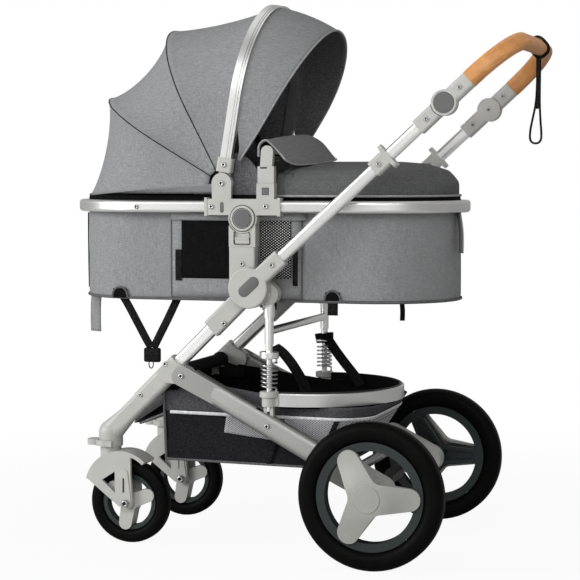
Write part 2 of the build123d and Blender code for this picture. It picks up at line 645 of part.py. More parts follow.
def rear_wheels():
    bead_r = REAR_WHEEL_D / 2 - REAR_TYRE_DEPTH
    tyre = wheel_tyre(REAR_AXLE_X, WHEEL_Y, REAR_WHEEL_D, REAR_TYRE_W, REAR_TYRE_DEPTH)
    save_sides("rear_tyre", tyre)
    rim_out = bead_r - SNUG
    rim_in = bead_r - REAR_RIM_DEPTH
    face_y = WHEEL_Y + REAR_TYRE_W / 2 - 8
    inner_y = face_y - REAR_RIM_W
    hub_y = WHEEL_Y - REAR_TYRE_W / 2 + 1
    ring = wheel_ring(REAR_AXLE_X, face_y - REAR_RIM_W / 2, REAR_AXLE_Z, rim_out, rim_in, REAR_RIM_W)
    arms = star(REAR_AXLE_X, REAR_AXLE_Z, 26, 15, rim_in - 8, 0)
    spokes = side_plate(arms, inner_y + 3, face_y)
    pockets = side_plate(star(REAR_AXLE_X, REAR_AXLE_Z, 16, 9, rim_in - 14, 0), inner_y, inner_y + 12)
    hub = side_plate(disc(REAR_AXLE_X, REAR_AXLE_Z, 22), hub_y, face_y)
    bore = side_plate(disc(REAR_AXLE_X, REAR_AXLE_Z, REAR_AXLE_R + RUNNING), hub_y - 1, WHEEL_Y + 20)
    save_sides("rear_rim", ring + (spokes - pockets) + hub - bore)
    outline = star(REAR_AXLE_X, REAR_AXLE_Z, 36, COVER_TIP_R, bead_r - COVER_TIP_R - 5, 0, COVER_ROOT_R)
    shell = wheel_dome(face_y + SNUG, bead_r, COVER_RISE) & side_plate(outline, face_y, face_y + 40)
    inset = side_plate(offset(outline, amount=-4), face_y, face_y + 40)
    shell -= wheel_dome(face_y + SNUG - 4, bead_r, COVER_RISE) & inset
    boss = side_plate(disc(REAR_AXLE_X, REAR_AXLE_Z, 18), face_y + SNUG, face_y + COVER_RISE)
    crown = side_plate(disc(REAR_AXLE_X, REAR_AXLE_Z, 27), face_y + COVER_RISE - 2, face_y + COVER_RISE + 1.5)
    crown = fillet(crown.edges().group_by(Axis.Y)[-1], 1.2)
    cap_bore = side_plate(disc(REAR_AXLE_X, REAR_AXLE_Z, REAR_AXLE_R + RUNNING), WHEEL_Y, WHEEL_Y + 18.5)
    save_sides("rear_wheel_cover", shell + boss + crown - cap_bore)


FORK_IN = FRONT_TYRE_W / 2 + 4
FORK_OUT = FORK_IN + 8


def front_wheels():
    bead_r = FRONT_WHEEL_D / 2 - FRONT_TYRE_DEPTH
    save_sides("front_tyre", wheel_tyre(FRONT_AXLE_X, SWIVEL_Y, FRONT_WHEEL_D, FRONT_TYRE_W, FRONT_TYRE_DEPTH))
    rim_in = bead_r - FRONT_RIM_DEPTH
    ring = wheel_ring(FRONT_AXLE_X, SWIVEL_Y, FRONT_AXLE_Z, bead_r - SNUG, rim_in, FRONT_RIM_W)
    save_sides("front_rim", ring)
    arms = star(FRONT_AXLE_X, FRONT_AXLE_Z, 20, 14, bead_r - 13.5, 20)
    half = FRONT_RIM_W / 2 + SNUG
    core = side_plate(arms & disc(FRONT_AXLE_X, FRONT_AXLE_Z, rim_in - SNUG), SWIVEL_Y - half, SWIVEL_Y + half)
    plates = side_plate(arms, SWIVEL_Y - half - 4, SWIVEL_Y - half) + side_plate(arms, SWIVEL_Y + half, SWIVEL_Y + half + 4)
    hub = side_plate(disc(FRONT_AXLE_X, FRONT_AXLE_Z, 14), SWIVEL_Y - FORK_IN + 1, SWIVEL_Y + FORK_IN - 1)
    bore = side_plate(disc(FRONT_AXLE_X, FRONT_AXLE_Z, FRONT_AXLE_R + RUNNING), SWIVEL_Y - 40, SWIVEL_Y + 40)
    save_sides("front_spokes", core + plates + hub - bore)


def caster_forks():
    x = FRONT_AXLE_X
    z = FRONT_AXLE_Z
    arch_x = x - GUARD_SHIFT
    over = disc(arch_x, GUARD_Z, GUARD_R)
    under = disc(arch_x, GUARD_Z, GUARD_R - GUARD_T)
    wedge = make_face(
        Polyline(
            (arch_x, GUARD_Z), (arch_x - 200, GUARD_Z + 50), (arch_x - 100, GUARD_Z + 260), (arch_x + 160, GUARD_Z + 172),
            close=True,
        )
    )
    guard = side_plate((over - under) & wedge, SWIVEL_Y - FORK_OUT, SWIVEL_Y + FORK_OUT)
    web = over & make_face(
        Polyline((x - 95, z + 54), (x - 16, z - 8), (x + 10, z - 8), (x + 10, z + 130), (x - 95, z + 130), close=True)
    )
    window = make_face(Polyline((x - 54, z + 46), (x - 25, z + 65), (x - 25, z + 20), close=True))
    cheek_outline = web - window + lobes((x, z, 14), (x - 4, z + 60, 14))
    pad_outline = lobes((x, z, 12), (x - 5, z + 62, 9))
    slot = block(x - 7, x - 3, z + 22, z + 52)
    axle = side_plate(disc(x, z, FRONT_AXLE_R), SWIVEL_Y - FORK_OUT - 2, SWIVEL_Y + FORK_OUT + 2)
    body = guard + axle
    for way in (1, -1):
        near = SWIVEL_Y + way * FORK_IN
        far = SWIVEL_Y + way * FORK_OUT
        body += side_plate(cheek_outline, min(near, far), max(near, far))
        pad = side_plate(pad_outline - slot, min(far, far + 2 * way), max(far, far + 2 * way))
        bolt = side_plate(disc(x, z, 8), min(far + way, far + 5 * way), max(far + way, far + 5 * way))
        body += pad + fillet(bolt.edges().group_by(Axis.Y)[-1 if way > 0 else 0], 1.2)
    crown = upright(SWIVEL_X, SWIVEL_Y, SOCKET_R - 3, CROWN_Z - 16, SOCKET_Z - SEAT_GAP)
    keep_out = side_plate(under, SWIVEL_Y - FORK_IN, SWIVEL_Y + FORK_IN)
    stem = upright(SWIVEL_X, SWIVEL_Y, STEM_R, CROWN_Z - 10, LEG_FOOT.Z)
    save_sides("caster_fork", body + (crown - keep_out) + stem)


LOCK_IN = SOCKET_R + 2
LOCK_OUT = SOCKET_R + 7


def swivel_locks():
    collar = Circle(LOCK_OUT) - Circle(LOCK_IN)
    front = Rectangle(2 * LOCK_OUT, 2 * LOCK_OUT, align=(Align.MAX, Align.CENTER))
    arms = Pos(4, 0) * Rectangle(20, 2 * LOCK_OUT) - Pos(4, 0) * Rectangle(22, 2 * LOCK_IN)
    tongue = Pos(-LOCK_OUT - 5, 0) * RectangleRounded(26, 32, 11) - Circle(LOCK_IN)
    outline = (collar & front) + arms + tongue
    lever = extrude(Pos(SWIVEL_X, SWIVEL_Y, SOCKET_Z + 1) * outline, amount=12)
    hole = side_plate(disc(SWIVEL_X, SOCKET_Z + 7, 4 + PIN_SLACK), SWIVEL_Y - 60, SWIVEL_Y + 60)
    save_sides("swivel_lock", lever - hole)


# Handle

COVER_ARM = 92.0
LATCH_FROM = 348.0
LATCH_TO = 391.0
HINGE_SOCKET_FROM = 468.0
HANDLE_FROM = 54.0
HANDLE_TO = 500.0
HINGE_SPLIT = HANDLE_Y - 0.5
BUTTON_TRAVEL = 2.5
BUTTON_R = 20.0
KNUCKLE_TO = 65.0


def on_handle(depth, width, corner, s_from, s_to):
    """A bar along the right handle tube, measured from the fold hub."""
    return beam(HANDLE_FOOT, HINGE, depth, width, corner, s_from, s_to)


def handle_room(s_from, s_to, slack):
    """The room the handle tube takes in a casting."""
    return on_handle(HANDLE_DEPTH + 2 * slack, HANDLE_W + 2 * slack, HANDLE_W / 2 - 1, s_from, s_to)


def handle_tubes():
    corner = HANDLE_W / 2 - 1
    shell = tube(HANDLE_FOOT, HINGE, HANDLE_DEPTH, HANDLE_W, corner, LEG_WALL, HANDLE_FROM, HANDLE_TO)
    save_pair("handle_tubes", shell)


def hub_cover():
    """The outer half of the fold hub, with the socket of the handle tube."""
    face = side_plate(disc(*HUB, HUB_R), COVER_IN, COVER_OUT)
    face = fillet(face.edges().group_by(Axis.Y)[-1], 3)
    arm = on_handle(HANDLE_DEPTH + 11, COVER_OUT - COVER_IN, 6, 0, COVER_ARM)
    bore = side_plate(disc(*HUB, HUB_PIN_R + PIN_SLACK), COVER_IN - 1, COVER_OUT - 3.5)
    inlay_plane = Plane(
        origin=(HUB_X, COVER_OUT, HUB_Z), x_dir=HANDLE_DIR, z_dir=(0, 1, 0)
    )
    inlay = extrude(inlay_plane * Pos(4, 0) * SlotOverall(50, 23), amount=-1.2)
    return face + arm - bore - inlay - handle_room(HANDLE_FROM - 0.3, COVER_ARM + 1, SNUG)


def hinge_socket():
    """The lower half of the tilt hinge, on the upper end of the handle tube."""
    arm = on_handle(HANDLE_DEPTH + 7, COVER_OUT - COVER_IN, 6, HINGE_SOCKET_FROM, HANDLE_LENGTH)
    clear = side_plate(disc(HINGE.X, HINGE.Z, HINGE_R + 1.5), HINGE_SPLIT, COVER_OUT + 1)
    half = side_plate(disc(HINGE.X, HINGE.Z, HINGE_R), COVER_IN, HINGE_SPLIT)
    pin = side_plate(disc(HINGE.X, HINGE.Z, 6), HINGE_SPLIT - 1, COVER_OUT - 6.5)
    body = arm - clear + half - handle_room(HINGE_SOCKET_FROM - 1, HANDLE_TO + 0.3, SNUG)
    return body + pin


def handle_sockets():
    cover = hub_cover()
    socket = hinge_socket()
    save("handle_sockets", cover, mirrored(cover), socket, mirrored(socket))


def fold_latches():
    sleeve = on_handle(HANDLE_DEPTH + 8, COVER_OUT - COVER_IN, 6, LATCH_FROM, LATCH_TO)
    wing = on_handle(HANDLE_DEPTH + 29, COVER_OUT - COVER_IN, 8, LATCH_TO - 8, LATCH_TO)
    save_pair("fold_latches", sleeve + wing - handle_room(LATCH_FROM - 1, LATCH_TO + 1, TURNING))


def bar_plane():
    """The tilted plane of the handlebar, with its origin between the tilt hinges."""
    return Plane(
        origin=(HINGE.X, 0, HINGE.Z), x_dir=(0, 1, 0), z_dir=(-HANDLE_DIR.Z, 0, HANDLE_DIR.X)
    )


def bar_path(start):
    """The handlebar's centre line, from one arm round to the other."""
    corners = [(HANDLE_Y, -start), (HANDLE_Y, -BAR_REACH), (-HANDLE_Y, -BAR_REACH), (-HANDLE_Y, -start)]
    return bar_plane() * FilletPolyline(*corners, radius=BAR_CORNER_R)


def bar_sweep(outline, start):
    """A section carried along the handlebar."""
    foot = Vector(HINGE.X, HANDLE_Y, HINGE.Z) + HANDLE_DIR * start
    plane = Plane(origin=foot, x_dir=(0, 1, 0), z_dir=HANDLE_DIR)
    return sweep(plane * outline, path=bar_path(start))


def handlebar():
    save("handlebar_tube", bar_sweep(Circle(BAR_TUBE_R) - Circle(BAR_TUBE_R - LEG_WALL), KNUCKLE_TO - 27))
    sleeve = bar_sweep(RectangleRounded(GRIP_W, GRIP_T, GRIP_W / 2 - 1), KNUCKLE_TO + SEAT_GAP)
    save("handle_grip", sleeve - bar_sweep(Circle(BAR_TUBE_R + SNUG), KNUCKLE_TO - 1))


def hinge_knuckles():
    arm = on_handle(GRIP_T - 2, COVER_OUT - COVER_IN, 8, HANDLE_LENGTH, HANDLE_LENGTH + KNUCKLE_TO)
    clear = side_plate(disc(HINGE.X, HINGE.Z, HINGE_R + 1.5), COVER_IN - 1, HINGE_SPLIT + 1)
    half = side_plate(disc(HINGE.X, HINGE.Z, HINGE_R), HINGE_SPLIT + 1, COVER_OUT)
    floor_y = COVER_OUT - 3 - BUTTON_TRAVEL - 0.2
    pin_bore = side_plate(disc(HINGE.X, HINGE.Z, 6 + PIN_SLACK), HINGE_SPLIT, COVER_OUT)
    well = side_plate(disc(HINGE.X, HINGE.Z, BUTTON_R + TURNING), floor_y, COVER_OUT + 1)
    start = HINGE + HANDLE_DIR * (KNUCKLE_TO - 27.3)
    plane = Plane(origin=start, x_dir=(0, 1, 0), z_dir=HANDLE_DIR)
    bar_bore = extrude(plane * Circle(BAR_TUBE_R + SNUG), amount=40)
    save_pair("hinge_knuckles", arm - clear + half - pin_bore - well - bar_bore)
    button = side_plate(disc(HINGE.X, HINGE.Z, BUTTON_R), COVER_OUT - 3, COVER_OUT + 1.5)
    save_sides("hinge_button", fillet(button.edges().group_by(Axis.Y)[-1], 1))


STRAP_R = 2.3
STRAP_Y = 60.0
STRAP_ROUTE = [
    (481.6, 1006.0), (481.8, 978.0), (481.6, 948.0), (480.0, 910.0), (471.8, 872.0), (468.2, 853.0), (467.5, 835.0),
    (474.5, 828.0), (484.5, 828.0), (491.5, 835.0), (491.2, 853.0), (489.4, 872.0), (487.2, 910.0), (487.4, 948.0),
    (487.6, 978.0), (487.8, 1006.0),
]


def bend_radii(points):
    """The largest even bend at each corner of a route."""
    radii = []
    for before, here, after in zip(points, points[1:], points[2:]):
        arriving = here - before
        leaving = after - here
        turn = math.radians(arriving.get_angle(leaving))
        radii.append(0.45 * min(arriving.length, leaving.length) / math.tan(turn / 2))
    return radii


def wrist_strap():
    points = [Vector(x, STRAP_Y, z) for x, z in STRAP_ROUTE]
    radii = bend_radii(points)
    path = FilletPolyline(*points, radius=radii)
    plane = Plane(origin=points[0], z_dir=points[1] - points[0])
    strap = sweep(plane * Circle(STRAP_R), path=path)
    share = strap.volume / (path.length * math.pi * STRAP_R**2)
    print(f"strap: length {path.length:.0f} mm, volume ratio {share:.3f}, radii", [round(r) for r in radii])
    save("wrist_strap", strap)


# Seat brackets and adaptors

RIM_Z = RING_Z - 8
TILT_R = 30.0
TILT_PIN_R = 6.0
BAR_FRONT_X = TILT_X - 80
BAR_REAR_X = TILT_X + 78
PLATE_W = 5.7
LATCH_TRAVEL = 5.0


def ring_section(x_from, x_to, slack):
    """A straight stretch of the right side of the seat ring."""
    start = Vector(x_from, RING_Y, RING_Z)
    end = Vector(x_to, RING_Y, RING_Z)
    return beam(start, end, RING_H + 2 * slack, RING_W + 2 * slack, 7, 0, x_to - x_from)


CANOPY_DISC_R = 21.0
LUG_R = 20.0
LUG_PIN_R = 5.0
PIVOT_PLATE_IN = 192.0
BUMPER_X = -16.0
BUMPER_SOCKET_TOP = CANOPY_Z
BUMPER_W = 37.0


def seat_brackets():
    wheel = side_plate(disc(TILT_X, TILT_Z, TILT_R), BRACKET_IN, BRACKET_OUT)
    bar_outline = block(BAR_FRONT_X, BAR_REAR_X, RING_Z - RING_H / 2 - 4, RING_TOP + 3.5)
    bar = side_plate(bar_outline, BRACKET_IN, BRACKET_OUT)
    flares = [
        side_plate(block(x, x + 6, RING_Z - RING_H / 2 - 6, RING_TOP + 6), BRACKET_IN, BRACKET_OUT + 1)
        for x in (BAR_FRONT_X - 1, BAR_REAR_X - 5)
    ]
    rim = side_plate(disc(TILT_X, TILT_Z, 25), BRACKET_OUT - 1, BRACKET_OUT + 3)
    well = side_plate(disc(TILT_X, TILT_Z, 18 + TURNING), BRACKET_OUT - 2.5, BRACKET_OUT + 4)
    pin_bore = side_plate(disc(TILT_X, TILT_Z, TILT_PIN_R + PIN_SLACK), BRACKET_IN - 1, BRACKET_IN + 14)
    hinge_outline = lobes(
        (CANOPY_X, CANOPY_Z, CANOPY_DISC_R), (CANOPY_X - 6, RING_TOP + 4, 14), (CANOPY_X + 6, RING_TOP + 4, 14)
    )
    upright_plate = side_plate(hinge_outline - block(-300, 300, 0, RING_TOP + 3), PIVOT_PLATE_IN, BRACKET_OUT)
    canopy_pin = side_plate(disc(CANOPY_X, CANOPY_Z, LUG_PIN_R), 172.5, PIVOT_PLATE_IN + 1)
    socket = side_plate(
        block(BUMPER_X - BUMPER_W / 2, BUMPER_X + BUMPER_W / 2, RING_TOP + 3, BUMPER_SOCKET_TOP), 181, BRACKET_OUT
    )
    mouth = brick(
        BUMPER_X - 13 - TURNING, BUMPER_X + 13 + TURNING, 184 - TURNING, 193 + TURNING, RING_TOP + 9, BUMPER_SOCKET_TOP + 1
    )
    button_z = (RING_TOP + 3 + BUMPER_SOCKET_TOP) / 2
    button_well = brick(
        BUMPER_X - 7.5, BUMPER_X + 7.5, 195, BRACKET_OUT + 1, button_z - 7.5, button_z + 7.5
    )
    body = wheel + bar + flares + rim + upright_plate + canopy_pin + socket
    body = body - well - pin_bore - mouth - button_well
    save_pair("seat_brackets", body - ring_section(BAR_FRONT_X - 20, BAR_REAR_X + 20, SNUG))
    button = side_plate(disc(TILT_X, TILT_Z, 18), BRACKET_OUT + 0.2, BRACKET_OUT + 4.5)
    save_sides("tilt_button", fillet(button.edges().group_by(Axis.Y)[-1], 1))
    key = brick(BUMPER_X - 7, BUMPER_X + 7, 197.2, BRACKET_OUT + 1.2, button_z - 7, button_z + 7)
    save_sides("bumper_button", fillet(key.edges().group_by(Axis.Y)[-1], 0.8))


def seat_adaptors():
    half = POST_W / 2 + 0.5
    base = POST_TOP + SEAT_GAP
    body = side_plate(block(TILT_X - half, TILT_X + half, base, TILT_Z - 14), BRACKET_IN, HUB_OUT - 2)
    body -= side_plate(disc(TILT_X, TILT_Z, TILT_R + 0.8), BRACKET_IN - 1, HUB_OUT)
    hollow = brick(
        TILT_X - POST_W / 3 - SEAT_GAP, TILT_X + POST_W / 3 + SEAT_GAP, HUB_IN + 5 - SEAT_GAP, HUB_OUT - 8 + SEAT_GAP,
        base - 1, POST_TOP + TONGUE_H + SEAT_GAP,
    )
    plate_outline = lobes((TILT_X, TILT_Z, RIM_Z - TILT_Z - 1), (TILT_X - 14, base + 12, 12), (TILT_X + 14, base + 12, 12))
    plate = side_plate(plate_outline, BRACKET_IN - 0.3 - PLATE_W, BRACKET_IN - 0.3)
    bridge = side_plate(block(TILT_X - 24, TILT_X + 24, base + 2, base + 22), BRACKET_IN - 1, BRACKET_IN + 1)
    pin = side_plate(disc(TILT_X, TILT_Z, TILT_PIN_R), BRACKET_IN - 1, BRACKET_IN + 12)
    window = brick(TILT_X - 18, TILT_X + 18, HUB_OUT - 6.2, HUB_OUT, base + 6, base + 30)
    save_pair("seat_adaptors", body + plate + bridge + pin - hollow - window)
    latch = brick(TILT_X - 15, TILT_X + 15, HUB_OUT - 6, HUB_OUT - 2.6, base + 7, base + 19)
    lip = brick(TILT_X - 15, TILT_X + 15, HUB_OUT - 5, HUB_OUT - 1, base + 15, base + 19)
    save_pair("seat_releases", latch + lip)


# Carrycot

def stadium(length, width, z):
    """A long plan outline with round ends, at one height."""
    return Pos(RING_MID_X, 0, z) * SlotOverall(length, width)


def seat_ring():
    outer = stadium(RING_LENGTH, 2 * RING_HALF_W, RING_Z - RING_H / 2)
    inner = stadium(RING_LENGTH - 2 * RING_W, 2 * RING_HALF_W - 2 * RING_W, RING_Z - RING_H / 2)
    band = extrude(outer - inner, amount=RING_H)
    save("seat_ring", fillet(band.edges().group_by(Axis.Z)[0] + band.edges().group_by(Axis.Z)[-1], 7))


TUB_LENGTH = RING_LENGTH - 2 * RING_W - 2 * SEAT_GAP
FOOT_FRONT_X = BAR_REAR_X + 4
FOOT_HALF_W = 184.0
FOOT_LIP = 15.0
FOOT_LIP_INSET = 9.0


def bassinet_tub():
    shell = extrude(stadium(TUB_LENGTH, 2 * TUB_HALF_W, TUB_BOTTOM_Z), amount=RING_TOP - TUB_BOTTOM_Z)
    shell = fillet(shell.edges().group_by(Axis.Z)[0], 12)
    rim_half = RING_HALF_W - RING_W - SEAT_GAP
    rim = extrude(stadium(TUB_LENGTH, 2 * rim_half, RIM_Z), amount=RING_TOP - RIM_Z)
    inside_z = TUB_BOTTOM_Z + TUB_WALL
    room = extrude(
        stadium(TUB_LENGTH - 2 * TUB_WALL, 2 * (TUB_HALF_W - TUB_WALL), inside_z), amount=RING_TOP - inside_z + 1
    )
    save("bassinet_tub", shell + rim - room)


def mattress():
    length = TUB_LENGTH - 2 * TUB_WALL
    width = 2 * (TUB_HALF_W - TUB_WALL)
    floor = TUB_BOTTOM_Z + TUB_WALL + SEAT_GAP
    layers = [(16, 0), (4, 10), (3, 20), (12, 28), (40, 33)]
    sections = [long_outline(length - 2 * inset, width - 2 * inset, floor + rise) for inset, rise in layers]
    save("mattress", loft(sections, ruled=True))


def long_outline(length, width, z):
    """The stadium outline drawn with quarter arcs."""
    half = width / 2
    straight = length / 2 - half
    edges = [
        Line((-straight, -half), (straight, -half)),
        CenterArc((straight, 0), half, -90, 90),
        CenterArc((straight, 0), half, 0, 90),
        Line((straight, half), (-straight, half)),
        CenterArc((-straight, 0), half, 90, 90),
        CenterArc((-straight, 0), half, 180, 90),
    ]
    return Pos(RING_MID_X, 0, z) * make_face(edges)


def foot_cover():
    rear_centre = RING_REAR_X - 20 - FOOT_HALF_W
    base = RING_TOP + SEAT_GAP

    def vault(inset, front, drop):
        layers = [(0, 0), (2, 34), (22, 58), (70, 72), (120, 76)]
        return loft(
            [
                Pos(0, 0, base + max(rise - drop, -1)) * u_outline(front, rear_centre, FOOT_HALF_W - inset - shrink)
                for shrink, rise in layers
            ],
            ruled=True,
        )

    outside = vault(0, FOOT_FRONT_X, 0) + vault(FOOT_LIP_INSET, FOOT_FRONT_X - FOOT_LIP, 0)
    save("foot_cover", outside - vault(12, FOOT_FRONT_X - FOOT_LIP - 1, 12))


# Bumper bar

BUMPER_BAR_Z = CANOPY_Z + 66
BUMPER_BOW = 45.0
BUMPER_Y = 188.5
BUMPER_LIFT = 50.0
PAD_DEPTH = 40.0
PAD_H = 57.0
PAD_LIFT = 7.0
PAD_END_GAP = 0.7
BUMPER_TIP_Y = 182.0


def bumper():
    radius = (BUMPER_Y**2 + BUMPER_BOW**2) / (2 * BUMPER_BOW)
    centre_x = BUMPER_X + BUMPER_BOW - radius
    swing = math.degrees(math.asin(BUMPER_Y / radius))
    level = Plane(origin=(centre_x, 0, BUMPER_BAR_Z), z_dir=(0, 0, 1))

    def bow(sketch, reach):
        path = level * CenterArc((0, 0), radius, -reach, 2 * reach)
        start = Plane(origin=path @ 0, x_dir=(0, 0, 1), z_dir=path % 0)
        return sweep(start * sketch, path=path)

    tongue = brick(BUMPER_X - 13, BUMPER_X + 13, 184, 193, RING_TOP + 12, BUMPER_SOCKET_TOP + 1)
    shank = brick(BUMPER_X - 17, BUMPER_X + 17, 181, 197, BUMPER_SOCKET_TOP + SEAT_GAP, BUMPER_SOCKET_TOP + 34)
    tip_outline = lobes((BUMPER_X, BUMPER_SOCKET_TOP + 34, 12.5), (BUMPER_X + 2, BUMPER_BAR_Z - 3, 12.5))
    tip = side_plate(tip_outline, BUMPER_TIP_Y, BUMPER_TIP_Y + 13)
    leg = tongue + shank + tip
    bar = bow(Circle(8), swing)
    save("bumper_bar", leg + bar + mirrored(leg))
    pad = bow(Pos(PAD_LIFT, 0) * RectangleRounded(PAD_H, PAD_DEPTH, PAD_DEPTH / 2 - 1), swing)
    pad_y = BUMPER_TIP_Y - PAD_END_GAP
    pad &= brick(BUMPER_X - 90, BUMPER_X + 90, -pad_y, pad_y, BUMPER_BAR_Z - PAD_H, BUMPER_BAR_Z + PAD_H)
    save("bumper_pad", pad - bow(Circle(8 + SNUG), swing))


# Canopy

def bow_plane(tilt, shift=0.0):
    """The plane of a canopy bow that leans by an angle, moved rearwards by a distance."""
    lean = math.radians(tilt)
    normal = Vector(math.cos(lean), 0, -math.sin(lean))
    return Plane(origin=Vector(CANOPY_X, 0, CANOPY_Z) + normal * shift, x_dir=(0, 1, 0), z_dir=normal)


def arch(plane, half_width, rise, foot, wall):
    """A band with two straight legs and a round top, in a bow's plane."""
    inner = half_width - wall
    edges = [
        Line((half_width, foot), (half_width, rise)),
        CenterArc((0, rise), half_width, 0, 90),
        CenterArc((0, rise), half_width, 90, 90),
        Line((-half_width, rise), (-half_width, foot)),
        Line((-half_width, foot), (-inner, foot)),
        Line((-inner, foot), (-inner, rise)),
        CenterArc((0, rise), inner, 180, -90),
        CenterArc((0, rise), inner, 90, -90),
        Line((inner, rise), (inner, foot)),
        Line((inner, foot), (half_width, foot)),
    ]
    return plane * make_face(edges)


CLOTH_FOOT = 58.0
FAN_FOOT = 28.0
HOOP_HALF_W = CANOPY_HALF_W + 4
HOOP_SOCKET_FROM = 15.0
HOOP_SOCKET_TO = 52.0
HOOP_FOOT = 38.0
LUG_OUT = PIVOT_PLATE_IN - 0.5
LUG_IN = 183.0
MIDDLE_OUT = 182.2
REAR_OUT = 177.4


def canopy_bow(node, tilt, half_width, drop):
    """An inner bow: a flat strip with an eye at each end."""
    rise = CANOPY_RISE - drop + CANOPY_HALF_W - CLOTH - BOW_T - half_width
    strip = extrude(arch(bow_plane(tilt, -BOW_W / 2), half_width, rise, 0, BOW_T), amount=BOW_W)
    eye = side_plate(disc(CANOPY_X, CANOPY_Z, 11), half_width - BOW_T, half_width)
    hole = side_plate(disc(CANOPY_X, CANOPY_Z, LUG_PIN_R + PIN_SLACK), 100, 200)
    save(node, strip + eye + mirrored(eye) - hole - mirrored(hole))


def canopy_hoop():
    face = arch(bow_plane(HOOP_TILT, -HOOP_W / 2), HOOP_HALF_W, CANOPY_RISE, HOOP_FOOT, HOOP_T)
    band = extrude(face, amount=HOOP_W)
    for shift in (1, 6):
        groove = arch(bow_plane(HOOP_TILT, shift), HOOP_HALF_W + 1, CANOPY_RISE, HOOP_FOOT - 1, 2.2)
        band -= extrude(groove, amount=2)
    save("canopy_hoop", band)


def canopy_hinges():
    plane = bow_plane(HOOP_TILT)
    lug = side_plate(disc(CANOPY_X, CANOPY_Z, LUG_R), LUG_IN, LUG_OUT)
    middle_y = HOOP_HALF_W - HOOP_T / 2
    seat = plane.offset(-16) * Pos(middle_y, (HOOP_SOCKET_TO + 23) / 2) * Rectangle(HOOP_T + 5, HOOP_SOCKET_TO - 23)
    socket = extrude(seat, amount=32)
    socket = fillet(socket.edges().filter_by(Axis(plane.origin, plane.y_dir)), 4)
    web_seat = plane.offset(-12) * Pos((LUG_IN + LUG_OUT) / 2, 20) * Rectangle(LUG_OUT - LUG_IN, 24)
    web = extrude(web_seat, amount=24)
    hole = side_plate(disc(CANOPY_X, CANOPY_Z, LUG_PIN_R + PIN_SLACK), 100, 200)
    room = extrude(
        plane.offset(-HOOP_W / 2 - SNUG) * Pos(middle_y, HOOP_FOOT + 49.7) * Rectangle(HOOP_T + 2 * SNUG, 100),
        amount=HOOP_W + 2 * SNUG,
    )
    save_pair("canopy_hinges", lug + socket + web - hole - room)


def canopy_cloth():
    gap = 0.5
    beside_hoop = HOOP_W / 2 + gap

    def edge(tilt, shift, drop, foot):
        return arch(bow_plane(tilt, shift), CANOPY_HALF_W, CANOPY_RISE - drop, foot, CLOTH)

    front = [edge(MIDDLE_TILT, gap, MIDDLE_DROP, CLOTH_FOOT), edge(HOOP_TILT, -beside_hoop, 0, CLOTH_FOOT)]
    middle = [edge(REAR_TILT, gap, REAR_DROP, FAN_FOOT), edge(MIDDLE_TILT, -gap, MIDDLE_DROP, FAN_FOOT)]
    rear = [edge(BASE_TILT, 0, BASE_DROP, FAN_FOOT), edge(REAR_TILT, -gap, REAR_DROP, FAN_FOOT)]
    lip = arch(bow_plane(VISOR_TILT), CANOPY_HALF_W - 5, CANOPY_RISE - 10, CLOTH_FOOT, CLOTH)
    visor = [edge(HOOP_TILT, beside_hoop, 0, CLOTH_FOOT), lip]
    panels = {"panel_front": front, "panel_middle": middle, "panel_rear": rear, "visor": visor}
    for name, bows in panels.items():
        save(f"canopy_{name}", loft(bows, ruled=True))


chassis_tubes()
leg_brackets()
caster_elbows()
hub_bases()
rear_legs()
axle_brackets()
rear_axle_tubes()
brake()
strut_rods()
springs()
spring_seats()
basket_hoop()
storage_basket()
rear_wheels()
front_wheels()
caster_forks()
swivel_locks()
handle_tubes()
handle_sockets()
fold_latches()
handlebar()
hinge_knuckles()
wrist_strap()
seat_brackets()
seat_adaptors()
seat_ring()
bassinet_tub()
mattress()
foot_cover()
bumper()
canopy_bow("canopy_bow_middle", MIDDLE_TILT, MIDDLE_OUT, MIDDLE_DROP)
canopy_bow("canopy_bow_rear", REAR_TILT, REAR_OUT, REAR_DROP)
canopy_hoop()
canopy_hinges()
canopy_cloth()
print(
    "places:", f"pivot {PIVOT.X:.2f} {PIVOT.Z:.2f}", f"strut foot {STRUT_FOOT_Z:.2f}", f"hinge {HINGE.X:.2f} {HINGE.Z:.2f}",
    f"brake {BRAKE_X:.1f} {BRAKE_Z:.1f}", f"swivel {SWIVEL_X:.1f}", f"lock {SOCKET_Z + 7:.2f}",
    f"lower seat {LOWER_SEAT_Z:.2f}", f"upper seat {UPPER_SEAT_Z:.2f}", f"hoop {BASKET_HOOP_Z:.2f}",
)
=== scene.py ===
import json
import math

